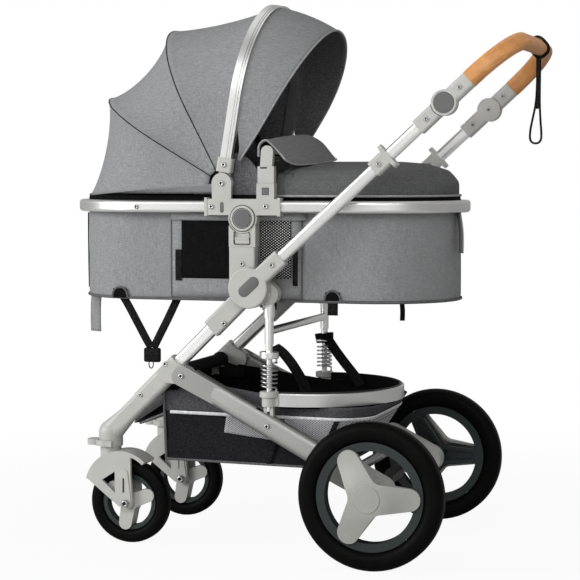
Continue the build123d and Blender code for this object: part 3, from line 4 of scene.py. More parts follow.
import bmesh
import bpy
from mathutils import Matrix, Vector, noise
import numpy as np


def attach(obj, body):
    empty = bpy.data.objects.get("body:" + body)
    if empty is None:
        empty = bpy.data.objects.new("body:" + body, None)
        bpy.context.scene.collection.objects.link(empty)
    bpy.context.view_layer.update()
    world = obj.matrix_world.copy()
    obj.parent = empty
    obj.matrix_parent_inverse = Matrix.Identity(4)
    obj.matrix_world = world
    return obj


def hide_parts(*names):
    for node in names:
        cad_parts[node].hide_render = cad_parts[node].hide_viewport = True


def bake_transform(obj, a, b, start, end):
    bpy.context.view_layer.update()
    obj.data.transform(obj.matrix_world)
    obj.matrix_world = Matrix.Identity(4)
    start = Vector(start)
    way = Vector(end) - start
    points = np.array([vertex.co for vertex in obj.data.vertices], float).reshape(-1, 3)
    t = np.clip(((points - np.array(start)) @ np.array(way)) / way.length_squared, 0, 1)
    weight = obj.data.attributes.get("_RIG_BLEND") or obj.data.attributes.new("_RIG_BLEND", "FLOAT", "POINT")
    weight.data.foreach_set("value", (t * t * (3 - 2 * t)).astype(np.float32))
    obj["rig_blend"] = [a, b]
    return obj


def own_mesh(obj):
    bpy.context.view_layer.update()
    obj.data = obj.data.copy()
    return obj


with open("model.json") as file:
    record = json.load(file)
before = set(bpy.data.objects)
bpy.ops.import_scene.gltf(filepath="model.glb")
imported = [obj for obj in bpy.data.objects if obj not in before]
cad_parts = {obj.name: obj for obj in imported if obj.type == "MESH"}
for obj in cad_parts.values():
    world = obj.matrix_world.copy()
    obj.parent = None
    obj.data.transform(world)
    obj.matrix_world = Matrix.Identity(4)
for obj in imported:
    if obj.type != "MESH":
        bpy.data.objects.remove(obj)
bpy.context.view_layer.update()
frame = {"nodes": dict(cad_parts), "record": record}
nodes = frame["nodes"]
scene = bpy.context.scene
scene.view_settings.view_transform = "Standard"

# Places shared with the solid model, in millimetres
HUB = (-44.0, 539.0)
HANDLE_DIR = (0.737277, 0.675590)
HANDLE_FACE = 230.0
HANDLE_INNER_FACE = 206.0
HINGE = (352.66, 902.47)
TILT_BUTTON = (-64.0, 677.0)
ADAPTOR_FACE = 203.0
BRACKET_FACE = 200.0
CANOPY = (-108.6, 747.0)
TILTS = {"base": -94.5, "rear": -59.6, "middle": -27.6, "hoop": 9.3, "visor": 30.5}
RISES = {"base": 161.0, "rear": 163.0, "middle": 167.0, "hoop": 175.0}
CLOTH_HALF = 195.0
CLOTH_FOOT = 58.0
FAN_FOOT = 30.0
HOOP_GROOVES = (2.0, 7.0)
HOOP_FOOT = 55.0
RING_MID = -67.0
TUB_LENGTH = 805.4
TUB_HALF = 168.0
CROSS_TUBE = (-238.6, 352.8)
STRUT_X = -9.0
BASKET_FRONT = -250.0
BASKET_FLOOR = 174.0
BASKET_BRIM = 300.56
BASKET_CORNER = 70.0
BASKET_FRONT_TOP = 321

# The basket's plan at its floor and at its brim
BASKET_REAR = (120.0, 200.0)
BASKET_FRONT_HALF = (144.0, 156.0)
BASKET_REAR_HALF = (162.0, 176.0)

# Each side with the sign of its y
SIDES = (("left", -1), ("right", 1))


def at(x, y, z):
    """A place given in millimetres."""
    return Vector((x, y, z)) / 1000


def between(low, high, share):
    """A value part of the way from one to another."""
    return low + (high - low) * share


def clamped(value):
    return min(max(value, 0.0), 1.0)


def eased(value):
    """A step from 0 to 1 with soft ends."""
    value = clamped(value)
    return value * value * (3 - 2 * value)


def turns(count, sweep=2 * math.pi):
    """Angles in equal steps over a sweep, its end left out."""
    return [sweep * i / count for i in range(count)]


# Materials

def new_finish(name, colour, roughness, metallic=0.0):
    """A material with its shader set to plain values, ready for detail."""
    made = bpy.data.materials.new(name)
    made.use_nodes = True
    shader = shader_of(made)
    shader.inputs["Base Color"].default_value = (*colour, 1)
    shader.inputs["Roughness"].default_value = roughness
    shader.inputs["Metallic"].default_value = metallic
    return made


def shader_of(finish):
    return finish.node_tree.nodes["Principled BSDF"]


def add_node(finish, kind, **sockets):
    """A node with some of its sockets set."""
    node = finish.node_tree.nodes.new(kind)
    for socket, value in sockets.items():
        node.inputs[socket.replace("_", " ")].default_value = value
    return node


def grain(finish, scale, detail=2.0, stretch=(1, 1, 1)):
    """Noise on the piece's own coordinates, drawn out along its axes."""
    tree = finish.node_tree
    where = add_node(finish, "ShaderNodeTexCoord")
    drawn = add_node(finish, "ShaderNodeMapping", Scale=stretch)
    speckle = add_node(finish, "ShaderNodeTexNoise", Scale=scale, Detail=detail, Roughness=0.6)
    tree.links.new(where.outputs["Object"], drawn.inputs["Vector"])
    tree.links.new(drawn.outputs["Vector"], speckle.inputs["Vector"])
    return speckle.outputs["Fac"]


def tint(finish, factor, low, high, low_at=0.3, high_at=0.7):
    """Two shades of the base colour, laid by a pattern."""
    ramp = add_node(finish, "ShaderNodeValToRGB")
    ramp.color_ramp.elements[0].position = low_at
    ramp.color_ramp.elements[0].color = (*low, 1)
    ramp.color_ramp.elements[1].position = high_at
    ramp.color_ramp.elements[1].color = (*high, 1)
    finish.node_tree.links.new(factor, ramp.inputs["Fac"])
    return ramp.outputs["Color"]


def paint(finish, colour):
    finish.node_tree.links.new(colour, shader_of(finish).inputs["Base Color"])


def dull(finish, factor, low, high):
    """Roughness that varies over the surface."""
    spread = add_node(finish, "ShaderNodeMapRange", To_Min=low, To_Max=high)
    finish.node_tree.links.new(factor, spread.inputs["Value"])
    finish.node_tree.links.new(spread.outputs["Result"], shader_of(finish).inputs["Roughness"])


def emboss(finish, height, strength, depth):
    """Small relief from a pattern."""
    bump = add_node(finish, "ShaderNodeBump", Strength=strength, Distance=depth)
    finish.node_tree.links.new(height, bump.inputs["Height"])
    finish.node_tree.links.new(bump.outputs["Normal"], shader_of(finish).inputs["Normal"])


def mixed(finish, first, second, operation="ADD"):
    """Two patterns put together."""
    both = add_node(finish, "ShaderNodeMath")
    both.operation = operation
    finish.node_tree.links.new(first, both.inputs[0])
    finish.node_tree.links.new(second, both.inputs[1])
    return both.outputs["Value"]


def scaled(finish, value, amount):
    """A pattern made weaker or stronger."""
    node = add_node(finish, "ShaderNodeMath")
    node.operation = "MULTIPLY"
    node.inputs[1].default_value = amount
    finish.node_tree.links.new(value, node.inputs[0])
    return node.outputs["Value"]


def gloss(finish, level):
    shader_of(finish).inputs["Specular IOR Level"].default_value = level


def melange_cloth(name, dark, light):
    """Heathered linen-look cloth with uneven threads both ways."""
    finish = new_finish(name, light, 0.9)
    across = grain(finish, 1.0, 3.0, (90, 90, 900))
    along = grain(finish, 1.0, 3.0, (900, 900, 90))
    threads = scaled(finish, mixed(finish, across, along), 0.5)
    paint(finish, tint(finish, threads, dark, light, 0.36, 0.64))
    weave = mixed(finish, threads, scaled(finish, grain(finish, 1500.0), 0.5))
    emboss(finish, weave, 0.35, 0.0008)
    gloss(finish, 0.15)
    return finish


def plain_cloth(name, dark, light, scale=900.0):
    """Close plain weave."""
    finish = new_finish(name, light, 0.92)
    across = grain(finish, 1.0, 2.0, (120, 120, scale))
    along = grain(finish, 1.0, 2.0, (scale, scale, 120))
    threads = mixed(finish, across, along, "MULTIPLY")
    paint(finish, tint(finish, threads, dark, light, 0.15, 0.42))
    emboss(finish, threads, 0.4, 0.0006)
    gloss(finish, 0.08)
    return finish


def moulded(name, colour, roughness):
    """Moulded plastic with a fine spark-eroded grain."""
    finish = new_finish(name, colour, roughness)
    cloud = grain(finish, 14.0, 3.0)
    paint(finish, tint(finish, cloud, [c * 0.93 for c in colour], [min(c * 1.04, 1) for c in colour]))
    dull(finish, cloud, roughness - 0.05, roughness + 0.07)
    emboss(finish, grain(finish, 1100.0), 0.012, 0.0001)
    return finish


def coated_metal(name, colour, roughness):
    """Satin metal with a faint clouding."""
    finish = new_finish(name, colour, roughness, 1.0)
    cloud = grain(finish, 9.0, 4.0)
    paint(finish, tint(finish, cloud, [c * 0.94 for c in colour], colour))
    dull(finish, cloud, roughness - 0.03, roughness + 0.04)
    emboss(finish, grain(finish, 900.0), 0.01, 0.0001)
    return finish


def rubber_foam(name, colour):
    """Dull black tyre foam with paler scuffs."""
    finish = new_finish(name, colour, 0.6)
    scuff = grain(finish, 30.0, 4.0)
    paint(finish, tint(finish, scuff, colour, [c * 1.9 for c in colour]))
    dull(finish, scuff, 0.42, 0.62)
    emboss(finish, grain(finish, 900.0), 0.15, 0.0004)
    gloss(finish, 0.05)
    return finish


def tan_leather(name, dark, light):
    """Clouded leather with fine pores."""
    finish = new_finish(name, light, 0.45)
    cloud = grain(finish, 24.0, 4.0)
    paint(finish, tint(finish, cloud, dark, light, 0.25, 0.7))
    where = add_node(finish, "ShaderNodeTexCoord")
    pores = add_node(finish, "ShaderNodeTexVoronoi", Scale=520.0)
    finish.node_tree.links.new(where.outputs["Object"], pores.inputs["Vector"])
    emboss(finish, mixed(finish, pores.outputs["Distance"], grain(finish, 260.0, 3.0)), 0.25, 0.0005)
    dull(finish, cloud, 0.36, 0.55)
    return finish


def net_cloth(name, hole, thread, pitch, width, crossing="MAXIMUM"):
    """An open net: slanted threads over dark holes, or with MINIMUM only the knots where they cross."""
    finish = new_finish(name, thread, 0.85)
    tree = finish.node_tree
    where = add_node(finish, "ShaderNodeTexCoord")
    per_metre = 1000 / pitch / 20 * 2 * math.pi
    lines = []
    for slant in (0.95, -0.95):
        mapping = add_node(finish, "ShaderNodeMapping", Rotation=(0, slant, 0))
        wave = add_node(finish, "ShaderNodeTexWave", Scale=per_metre, Distortion=0.0)
        tree.links.new(where.outputs["Object"], mapping.inputs["Vector"])
        tree.links.new(mapping.outputs["Vector"], wave.inputs["Vector"])
        lines.append(wave.outputs["Fac"])
    threads = mixed(finish, lines[0], lines[1], crossing)
    paint(finish, tint(finish, threads, hole, thread, 1 - width - 0.06, 1 - width + 0.06))
    emboss(finish, threads, 0.5, 0.0008)
    return finish


cot_cloth = melange_cloth("grey melange cloth", (0.155, 0.157, 0.16), (0.275, 0.278, 0.282))
# A darker melange for the foot cover, darkened further as painted shade for the hood's shadow on it; the
# basket's nose and shelf use it too.
dark_cloth_and_painted_shade = melange_cloth("dark melange cloth with painted shade", (0.064, 0.065, 0.066), (0.126, 0.127, 0.129))
# The bumper wrap's melange, a lighter copy of the foot cover's dark cloth: painted light that makes up for
# the shade the hood casts on the wrap.
sleeve_cloth_painted_light = melange_cloth("sleeve melange cloth with painted light", (0.115, 0.116, 0.118), (0.218, 0.22, 0.223))
basket_cloth = plain_cloth("charcoal basket cloth", (0.006, 0.006, 0.007), (0.022, 0.022, 0.0245))
band_cloth = plain_cloth("basket band cloth", (0.04, 0.04, 0.043), (0.11, 0.11, 0.115))
black_cloth = plain_cloth("black lining", (0.002, 0.002, 0.002), (0.007, 0.007, 0.0075))
hood_lining = plain_cloth("hood lining", (0.08, 0.08, 0.084), (0.22, 0.22, 0.229))
webbing = plain_cloth("black webbing", (0.004, 0.004, 0.004), (0.02, 0.02, 0.02), 500.0)
cotton = plain_cloth("mattress cotton", (0.55, 0.55, 0.54), (0.8, 0.8, 0.79))
soft_piping = plain_cloth("grey piping", (0.2, 0.2, 0.203), (0.38, 0.38, 0.385))
edge_cloth = plain_cloth("edge binding", (0.07, 0.07, 0.073), (0.15, 0.15, 0.153))
silver_piping = plain_cloth("silver piping", (0.5, 0.5, 0.51), (0.8, 0.8, 0.81), 400.0)
window_net = net_cloth("window net", (0.003, 0.003, 0.003), (0.75, 0.75, 0.75), 4.4, 0.3, "MINIMUM")
basket_net = net_cloth("basket net", (0.02, 0.02, 0.021), (0.36, 0.36, 0.37), 3.6, 0.4)
pale_plastic = moulded("pale grey plastic", (0.4, 0.398, 0.377), 0.42)
mid_plastic = moulded("mid grey plastic", (0.095, 0.095, 0.095), 0.5)
black_plastic = moulded("black plastic", (0.006, 0.006, 0.006), 0.5)
rim_plastic = moulded("slate rim plastic", (0.0105, 0.017, 0.0162), 0.42)
tube_silver = coated_metal("satin silver tube", (0.9, 0.9, 0.885), 0.34)
bright_silver = coated_metal("anodised hoop", (0.74, 0.74, 0.73), 0.36)
zinc_steel = coated_metal("zinc plated steel", (0.5, 0.5, 0.505), 0.3)
screw_steel = coated_metal("bright screw steel", (0.62, 0.62, 0.62), 0.24)
# A darker copy of the frame's silver for the rear legs: the darker colour is painted shade that dims the
# lamps' reflection on them.
leg_metal_painted_shade = coated_metal("satin leg extrusion with painted shade", (0.33, 0.33, 0.32), 0.5)
# A darker copy of the pale grey plastic for the rear wheel covers: painted shade, as less light falls on
# their faces.
cover_plastic_painted_shade = moulded("wheel cover plastic with painted shade", (0.3, 0.3, 0.282), 0.45)
tyre_black = rubber_foam("tyre foam", (0.0016, 0.0016, 0.0015))
leather = tan_leather("tan leather", (0.37, 0.145, 0.037), (0.57, 0.265, 0.08))

FINISH_OF_SLOT = {
    "frame_silver": tube_silver, "bright_metal": bright_silver, "steel": zinc_steel,
    "light_plastic": pale_plastic, "grey_plastic": mid_plastic, "dark_plastic": black_plastic,
    "rim_plastic": rim_plastic, "tyre": tyre_black, "leather": leather,
    "grey_fabric": cot_cloth, "dark_fabric": basket_cloth, "white_fabric": cotton,
}
# Nodes that take a darker copy of their slot's finish, as painted shade.
FINISH_OF_NODE = {
    "rear_legs": leg_metal_painted_shade,
    "rear_wheel_cover_left": cover_plastic_painted_shade,
    "rear_wheel_cover_right": cover_plastic_painted_shade,
}
for part in frame["record"]["subparts"]:
    skin = nodes[part["node"]].data.materials
    skin.clear()
    skin.append(FINISH_OF_NODE.get(part["node"], FINISH_OF_SLOT[part["material_slot"]]))


# Making pieces

def piece(name, form, body, *finishes, smooth=True):
    """A finished bmesh becomes an object that rides on a body."""
    mesh = bpy.data.meshes.new(name)
    form.to_mesh(mesh)
    form.free()
    for finish in finishes:
        mesh.materials.append(finish)
    for face in mesh.polygons:
        face.use_smooth = smooth
    made = bpy.data.objects.new(name, mesh)
    scene.collection.objects.link(made)
    if body:
        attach(made, body)
    return made


def thicken(made, amount, offset=-1.0, inner=0):
    """Cloth thickness; the hidden side may take another finish."""
    wall = made.modifiers.new("thickness", "SOLIDIFY")
    wall.thickness = amount / 1000
    wall.offset = offset
    wall.material_offset = inner
    wall.use_even_offset = True
    return made


def soften(made, levels=1):
    """Rounder faces, the same on screen and in a render."""
    rounder = made.modifiers.new("rounding", "SUBSURF")
    rounder.levels = levels
    rounder.render_levels = levels
    return made


def settle(made):
    """The modifiers become part of the mesh."""
    bpy.context.view_layer.update()
    seen = made.evaluated_get(bpy.context.evaluated_depsgraph_get())
    mesh = bpy.data.meshes.new_from_object(seen)
    made.modifiers.clear()
    old = made.data
    made.data = mesh
    bpy.data.meshes.remove(old)
    return made


def outward(made, centre):
    """Faces turned away from a place inside."""
    form = bmesh.new()
    form.from_mesh(made.data)
    turned = [face for face in form.faces if face.normal.dot(face.calc_center_median() - centre) < 0]
    if len(turned) * 2 > len(form.faces):
        bmesh.ops.reverse_faces(form, faces=form.faces)
    form.to_mesh(made.data)
    form.free()


def sheet(columns, rows, place):
    """A grid of cloth, each point put where place(s, t) says, with s and t from 0 to 1."""
    form = bmesh.new()
    bmesh.ops.create_grid(form, x_segments=columns, y_segments=rows, size=0.5)
    for vert in form.verts:
        vert.co = place(vert.co.x + 0.5, vert.co.y + 0.5)
    bmesh.ops.remove_doubles(form, verts=form.verts, dist=1e-5)
    bmesh.ops.recalc_face_normals(form, faces=form.faces)
    return form


def curve(name, points, steps, closed=False):
    """A smooth line through some places."""
    line = bpy.data.curves.new(name, "CURVE")
    line.dimensions = "3D"
    line.resolution_u = steps
    spline = line.splines.new("NURBS")
    spline.points.add(len(points) - 1)
    for point, place in zip(spline.points, points):
        point.co = (*place, 1)
    spline.order_u = 3
    spline.use_endpoint_u = not closed
    spline.use_cyclic_u = closed
    return line


def form_of(line):
    """A curve's mesh as a bmesh, with the curve taken away."""
    guide = bpy.data.objects.new(line.name, line)
    scene.collection.objects.link(guide)
    bpy.context.view_layer.update()
    mesh = bpy.data.meshes.new_from_object(guide.evaluated_get(bpy.context.evaluated_depsgraph_get()))
    bpy.data.objects.remove(guide)
    bpy.data.curves.remove(line)
    form = bmesh.new()
    form.from_mesh(mesh)
    bpy.data.meshes.remove(mesh)
    return form


def rope(name, points, radius, finish, body, closed=False, flat=0.0):
    """A round or flat line of piping, thread or wire through some places."""
    line = curve(name, points, 4, closed)
    line.bevel_depth = radius / 1000
    line.bevel_resolution = 2
    line.extrude = flat / 1000
    line.use_fill_caps = True
    return piece(name, form_of(line), body, finish)


def ribbon(name, points, width, thickness, wide, finish, body, hung_from=None):
    """Flat webbing through some places, its width along one direction; the piece named to hang it from is not
    used.
    """
    side = Vector(wide).normalized() * (width / 2000)
    run = form_of(curve(name, points, 6))
    places = [vert.co.copy() for vert in run.verts]
    run.free()
    last = len(places) - 1

    def place(s, t):
        return places[round(t * last)] + side * (2 * s - 1)

    made = piece(name, sheet(3, last, place), body, finish)
    if hung_from:
        length = sum((b - a).length for a, b in zip(places, places[1:]))
    return thicken(made, thickness, 0.0)


def mirrored(places):
    """The same places on the other side of the stroller."""
    return [Vector((place.x, -place.y, place.z)) for place in places]


def raised(form, height):
    """The form's flat face pushed up along +Z; gives back the new top face."""
    top = bmesh.ops.extrude_face_region(form, geom=form.faces[:])
    lifted = [item for item in top["geom"] if isinstance(item, bmesh.types.BMVert)]
    bmesh.ops.translate(form, verts=lifted, vec=(0, 0, height / 1000))
    return next(item for item in top["geom"] if isinstance(item, bmesh.types.BMFace))


def facing(way):
    """The turn from +Z to the side, +Y or -Y by the sign of way."""
    return Matrix.Rotation(math.radians(-90 * way), 4, "X")


def put_into(form, small, matrix):
    """A small form set into a larger one at its place."""
    bmesh.ops.transform(small, matrix=matrix, verts=small.verts)
    mesh = bpy.data.meshes.new("small form")
    small.to_mesh(mesh)
    small.free()
    form.from_mesh(mesh)
    bpy.data.meshes.remove(mesh)


# Fasteners, each head an (x, y, z, radius, way), where way is the sign of the side it faces

HANDLE_HEAD = 4.2
BOSS_STEPS = 24


def screw_head(radius):
    """A button-head screw standing along +Z, its socket coloured black as painted shade."""
    form = bmesh.new()
    bmesh.ops.create_circle(form, cap_ends=True, segments=18, radius=radius / 1000)
    bmesh.ops.recalc_face_normals(form, faces=form.faces)
    face = raised(form, radius * 0.35)
    for inset, rise in ((0.22, 0.28), (0.26, 0.1), (0.1, -0.5)):
        socket = bmesh.ops.inset_region(form, faces=[face], thickness=radius * inset / 1000)
        bmesh.ops.translate(form, verts=face.verts, vec=(0, 0, radius * rise / 1000))
    # The socket's floor and walls take the second finish, black: painted shade in the recess.
    for dark in [face, *socket["faces"]]:
        dark.material_index = 1
    bmesh.ops.recalc_face_normals(form, faces=form.faces)
    return form


def screws(name, body, heads, finish=screw_steel):
    """Screw heads of one body."""
    form = bmesh.new()
    for x, y, z, radius, way in heads:
        put_into(form, screw_head(radius), Matrix.Translation(at(x, y, z)) @ facing(way))
    # The black plastic is the painted shade in the sockets.
    return piece(name, form, body, finish, black_plastic)


def bosses(name, body, heads):
    """Raised plastic rings that the screw heads sit in."""
    form = bmesh.new()
    for x, y, z, radius, way in heads:
        inner, outer = radius + 0.4, radius + 2.6
        crown = [(inner, 0.0), (inner, 1.1), (inner + 0.5, 1.5)]
        crown += [(outer - 0.6, 1.3), (outer, 0.6), (outer, -0.2)]
        verts = [form.verts.new(at(x + r, y + way * lift, z)) for r, lift in crown]
        edges = [form.edges.new(pair) for pair in zip(verts, verts[1:])]
        bmesh.ops.spin(
            form, geom=verts + edges, cent=at(x, y, z), axis=(0, 1, 0), angle=2 * math.pi,
            steps=BOSS_STEPS, use_merge=True,
        )
    bmesh.ops.recalc_face_normals(form, faces=form.faces)
    piece(name, form, body, pale_plastic)


def both_sides(places, y, radius):
    """Outward heads on the left and the right."""
    return [(x, k * y, z, radius, k) for x, z in places for k in (1, -1)]


def inner_sides(places, y, radius):
    """Heads on the faces that look to the middle."""
    return [(x, -k * y, z, radius, k) for x, z in places for k in (1, -1)]


def along_handle(distance):
    """A place on the handle tube, measured from the hub."""
    return HUB[0] + HANDLE_DIR[0] * distance, HUB[1] + HANDLE_DIR[1] * distance


heads = both_sides([(-63, 586), (-21, 503)], 205, 5.0)
heads += both_sides([(-103.5, 465)], 199.0, 5.0)
heads += both_sides([(STRUT_X, 526)], 205, 6.5)
heads += both_sides([(-234, 378)], 191.0, 5.2)
heads += both_sides([(-291, 312)], 185.0, 4.4)
screws("chassis_screws", "chassis", heads)
heads = both_sides([(STRUT_X, 261.6)], 210.6, 5.5)
heads += both_sides([(-197.3, 355)], 197.3, 5.6)
screws("rear_frame_screws", "rear_frame", heads)
for side, k in SIDES:
    bolts = [(-323, k * 195.0, 86, 8.0, k), (-323, k * 127.0, 86, 8.0, -k)]
    screws(f"axle_bolts_{side}", f"caster_{side}", bolts, zinc_steel)
for name, body, outer_at, inner_at in (
    ("handle", "handle", (70, 492), (492,)),
    ("latch", "fold_latch", (364,), (364,)),
    ("knuckle", "handlebar", (580,), (580,)),
):
    heads = both_sides([along_handle(distance) for distance in outer_at], HANDLE_FACE, HANDLE_HEAD)
    heads += inner_sides([along_handle(distance) for distance in inner_at], HANDLE_INNER_FACE, HANDLE_HEAD)
    screws(f"{name}_screws", body, heads)
    bosses(f"{name}_bosses", body, heads)
screws("hinge_pins", "handle", inner_sides([along_handle(538)], HANDLE_INNER_FACE, HANDLE_HEAD))
heads = both_sides([(-130, 700), (-15, 701)], BRACKET_FACE, 5.2)
heads += both_sides([CANOPY], BRACKET_FACE, 5.8)
heads += both_sides([(-294, 699)], 197.5, 4.8)
screws("seat_screws", "seat", heads)
screws("hoop_screws", "canopy_front", both_sides([(-102.5, 784)], 201.5, 5.4))


# Springs

def shortens(made):
    """A piece held above and below a strut rides on the strut, with a mesh of its own."""
    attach(made, "strut")
    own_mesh(made)


form = bmesh.new()
form.from_mesh(nodes["springs"].data)
coils = piece("spring_coils", form, None, zinc_steel)
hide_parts("springs")
shortens(coils)


# Inlays

def pill(length, width, depth, edge):
    """A flat pill with a rounded edge, standing along +Z."""
    form = bmesh.new()
    bmesh.ops.create_circle(form, cap_ends=True, segments=40, radius=width / 2000)
    for vert in form.verts:
        vert.co.x += math.copysign((length - width) / 2000, vert.co.x)
    rim = list(raised(form, depth).edges)
    bmesh.ops.bevel(form, geom=rim, offset=edge / 1000, affect="EDGES", segments=3, profile=0.5, material=-1)
    bmesh.ops.recalc_face_normals(form, faces=form.faces)
    return form


lean = math.atan2(HANDLE_DIR[1], HANDLE_DIR[0])
for side, k in SIDES:
    form = pill(49, 22, 1.9, 0.7)
    x, z = along_handle(4)
    spot = Matrix.Translation(at(x, k * (HANDLE_FACE - 1.1), z))
    bmesh.ops.transform(form, matrix=spot @ Matrix.Rotation(-lean, 4, "Y") @ facing(k), verts=form.verts)
    piece(f"hub_inlay_{side}", form, "handle", mid_plastic)


def side_inlays(name, body, spot, size, upright, finish, sides=(1, -1)):
    """A small pill of some length and width let into a side face, on one side or on both."""
    form = bmesh.new()
    x, y, z = spot
    for k in sides:
        turn = Matrix.Rotation(math.radians(90 if upright else 0), 4, "Z")
        put_into(form, pill(*size, 0.7, 0.25), Matrix.Translation(at(x, k * y, z)) @ facing(k) @ turn)
    piece(name, form, body, finish)


# Half of the release latch's recess, from its top down to its floor: distance from the middle, and height
RECESS_HALF = [(14.8, 650), (16.6, 646), (17, 640), (17, 626), (15, 624.4)]
for side, k in SIDES:
    rim = [at(TILT_BUTTON[0] - wide, k * ADAPTOR_FACE, z) for wide, z in RECESS_HALF]
    rim += [at(TILT_BUTTON[0] + wide, k * ADAPTOR_FACE, z) for wide, z in RECESS_HALF[::-1]]
    # A thin black line round the recess's edge: painted shade for the gap there.
    rope(f"release_recess_shade_line_{side}", rim, 0.8, black_plastic, "seat_base")
side_inlays("bracket_inlays", "seat", (-107.7, 199.8, 699), (22, 8), True, mid_plastic)
side_inlays("bumper_slots", "bumper", (-20.5, 196.8, 778), (15, 3), False, black_plastic)
for side, k in SIDES:
    name, body, slot_at = f"fork_slot_{side}", f"caster_{side}", (-328, 190.0, 123)
    side_inlays(name, body, slot_at, (30, 4), True, black_plastic, (k,))
    # Thin black rings round the tilt button on the adaptor and on the bracket: painted shade for the gaps at
    # their edges.
    for number, (radius, y) in enumerate(((20.2, ADAPTOR_FACE), (26.6, BRACKET_FACE))):
        x, z = TILT_BUTTON
        ring = [at(x + radius * math.cos(a), k * y, z + radius * math.sin(a)) for a in turns(32)]
        rope(f"tilt_ring_shade_line_{side}_{number}", ring, 0.7, black_plastic, "seat", closed=True)


# Hood

HOOD_INSIDE = at(CANOPY[0], 0, CANOPY[1] + 60)


def on_bow(bow, s, foot=FAN_FOOT, half=CLOTH_HALF, turn_on=0.0):
    """A place on a hood bow and the way in from it, with s from the left foot to the right one."""
    rise = RISES[bow]
    leg = rise - foot
    total = 2 * leg + math.pi * half
    run = s * total
    if run < leg:
        y, u, way = -half, foot + run, (1, 0)
    elif run > total - leg:
        y, u, way = half, foot + total - run, (-1, 0)
    else:
        turn = (run - leg) / half
        y, u = -half * math.cos(turn), rise + half * math.sin(turn)
        way = (math.cos(turn), -math.sin(turn))
    angle = math.radians(TILTS[bow] + turn_on)
    place = at(CANOPY[0] + u * math.sin(angle), y, CANOPY[1] + u * math.cos(angle))
    inward = Vector((way[1] * math.sin(angle), way[0], way[1] * math.cos(angle)))
    return place, inward


def hood_panel(name, first, second, sag, feet, body_a, body_b, node):
    """Cloth stretched between two bows and hollow between them, each edge moving with its own bow."""
    def place(s, t):
        here, way_here = on_bow(first, s, feet[0])
        there, way_there = on_bow(second, s, feet[1])
        hollow = sag / 1000 * (4 * t * (1 - t)) ** 0.8 * math.sin(math.pi * s) ** 0.7
        return here.lerp(there, t) + (way_here + way_there).normalized() * hollow

    made = piece(name, sheet(72, 16, place), None, cot_cloth, hood_lining)
    outward(made, HOOD_INSIDE)
    thicken(made, 2.4, -1.0, 1)
    settle(made)
    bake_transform(made, body_a, body_b, start=on_bow(first, 0.5)[0], end=on_bow(second, 0.5)[0])
    low, high = math.radians(TILTS[first]), math.radians(TILTS[second])
    share = made.data.attributes["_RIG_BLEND"]
    for vert, item in zip(made.data.vertices, share.data):
        angle = math.atan2(vert.co.x * 1000 - CANOPY[0], vert.co.z * 1000 - CANOPY[1])
        item.value = clamped((angle - low) / (high - low))
    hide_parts(node)


def bow_line(bow, lift, foot=FAN_FOOT):
    """A line along a bow, lifted off the cloth."""
    return [on_bow(bow, i / 48, foot, CLOTH_HALF + lift)[0] for i in range(49)]


fan = (FAN_FOOT, FAN_FOOT)
to_hoop = (FAN_FOOT, CLOTH_FOOT)
hood_panel("hood_rear", "base", "rear", 15, fan, "seat", "canopy_rear", "canopy_panel_rear")
hood_panel("hood_middle", "rear", "middle", 22, fan, "canopy_rear", "canopy_middle", "canopy_panel_middle")
hood_panel("hood_front", "middle", "hoop", 9, to_hoop, "canopy_middle", "canopy_front", "canopy_panel_front")

hoop_tilt = math.radians(TILTS["hoop"])
ahead = Vector((math.cos(hoop_tilt), 0, -math.sin(hoop_tilt)))
# Two thin ropes of darker steel on the hoop: the darker colour is painted shade for its grooves.
for number, shift in enumerate(HOOP_GROOVES):
    groove = [place + ahead * shift / 1000 for place in bow_line("hoop", 2.6, HOOP_FOOT)]
    rope(f"hoop_groove_shade_line_{number}", groove, 0.9, zinc_steel, "canopy_front")
rope("hood_seam_rear", bow_line("rear", 0.2), 0.9, black_cloth, "canopy_rear")
rope("hood_seam_middle", bow_line("middle", 0.2), 0.9, black_cloth, "canopy_middle")


def hood_skirt():
    """The hood's fixed lower edge, from the lowest bow down to the black binding on the cot's rim."""
    foot, hem_height = 6.0, 728

    def place(s, t):
        top = on_bow("base", s, foot)[0] * 1000
        draw_in = 1 - 0.045 * t
        x = RING_MID + (top.x - RING_MID) * draw_in if top.x < -330 else top.x
        return at(x, top.y * draw_in, between(top.z, hem_height, t))

    made = piece("hood_skirt", sheet(96, 6, place), "seat", cot_cloth, hood_lining)
    outward(made, at(CANOPY[0], 0, CANOPY[1]))
    thicken(made, 1.8, -1.0, 1)
    rope("hood_hem", [place(i / 64, 1.0) for i in range(65)], 2.0, edge_cloth, "seat")


def visor():
    """A crescent of cloth in front of the hoop, free of it near the feet.
    """
    def place(s, t):
        up = 2 * min(s, 1 - s)
        rear = 1.9 + 25 * max(0.0, 1 - up / 0.2) ** 1.5
        front = TILTS["visor"] - TILTS["hoop"] + 7 * (1 - up) ** 1.5
        return on_bow("hoop", s, CLOTH_FOOT, CLOTH_HALF - 5 * t, between(rear, front, t))[0]

    made = piece("hood_visor", sheet(72, 14, place), None, cot_cloth, hood_lining)
    outward(made, at(CANOPY[0] + 30, 0, CANOPY[1] + 60))
    thicken(made, 2.6, -1.0, 1)
    settle(made)
    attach(made, "canopy_front")
    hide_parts("canopy_visor")
    edge = rope("visor_edge", [place(i / 64, 1) for i in range(65)], 2.2, soft_piping, "canopy_front")
    for soft in (made, edge):
        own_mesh(soft)


hood_skirt()
visor()


# Cot

COT_INSIDE = at(RING_MID, 0, 610)

# The wall from its bottom edge up: height, and how far it lies inside the cot's outline
WALL_LEVELS = [(508, 10), (509, 4), (512, 1), (520, 0), (560, 0), (610, 0.6), (660, 0.6), (692, 1), (708, 2)]

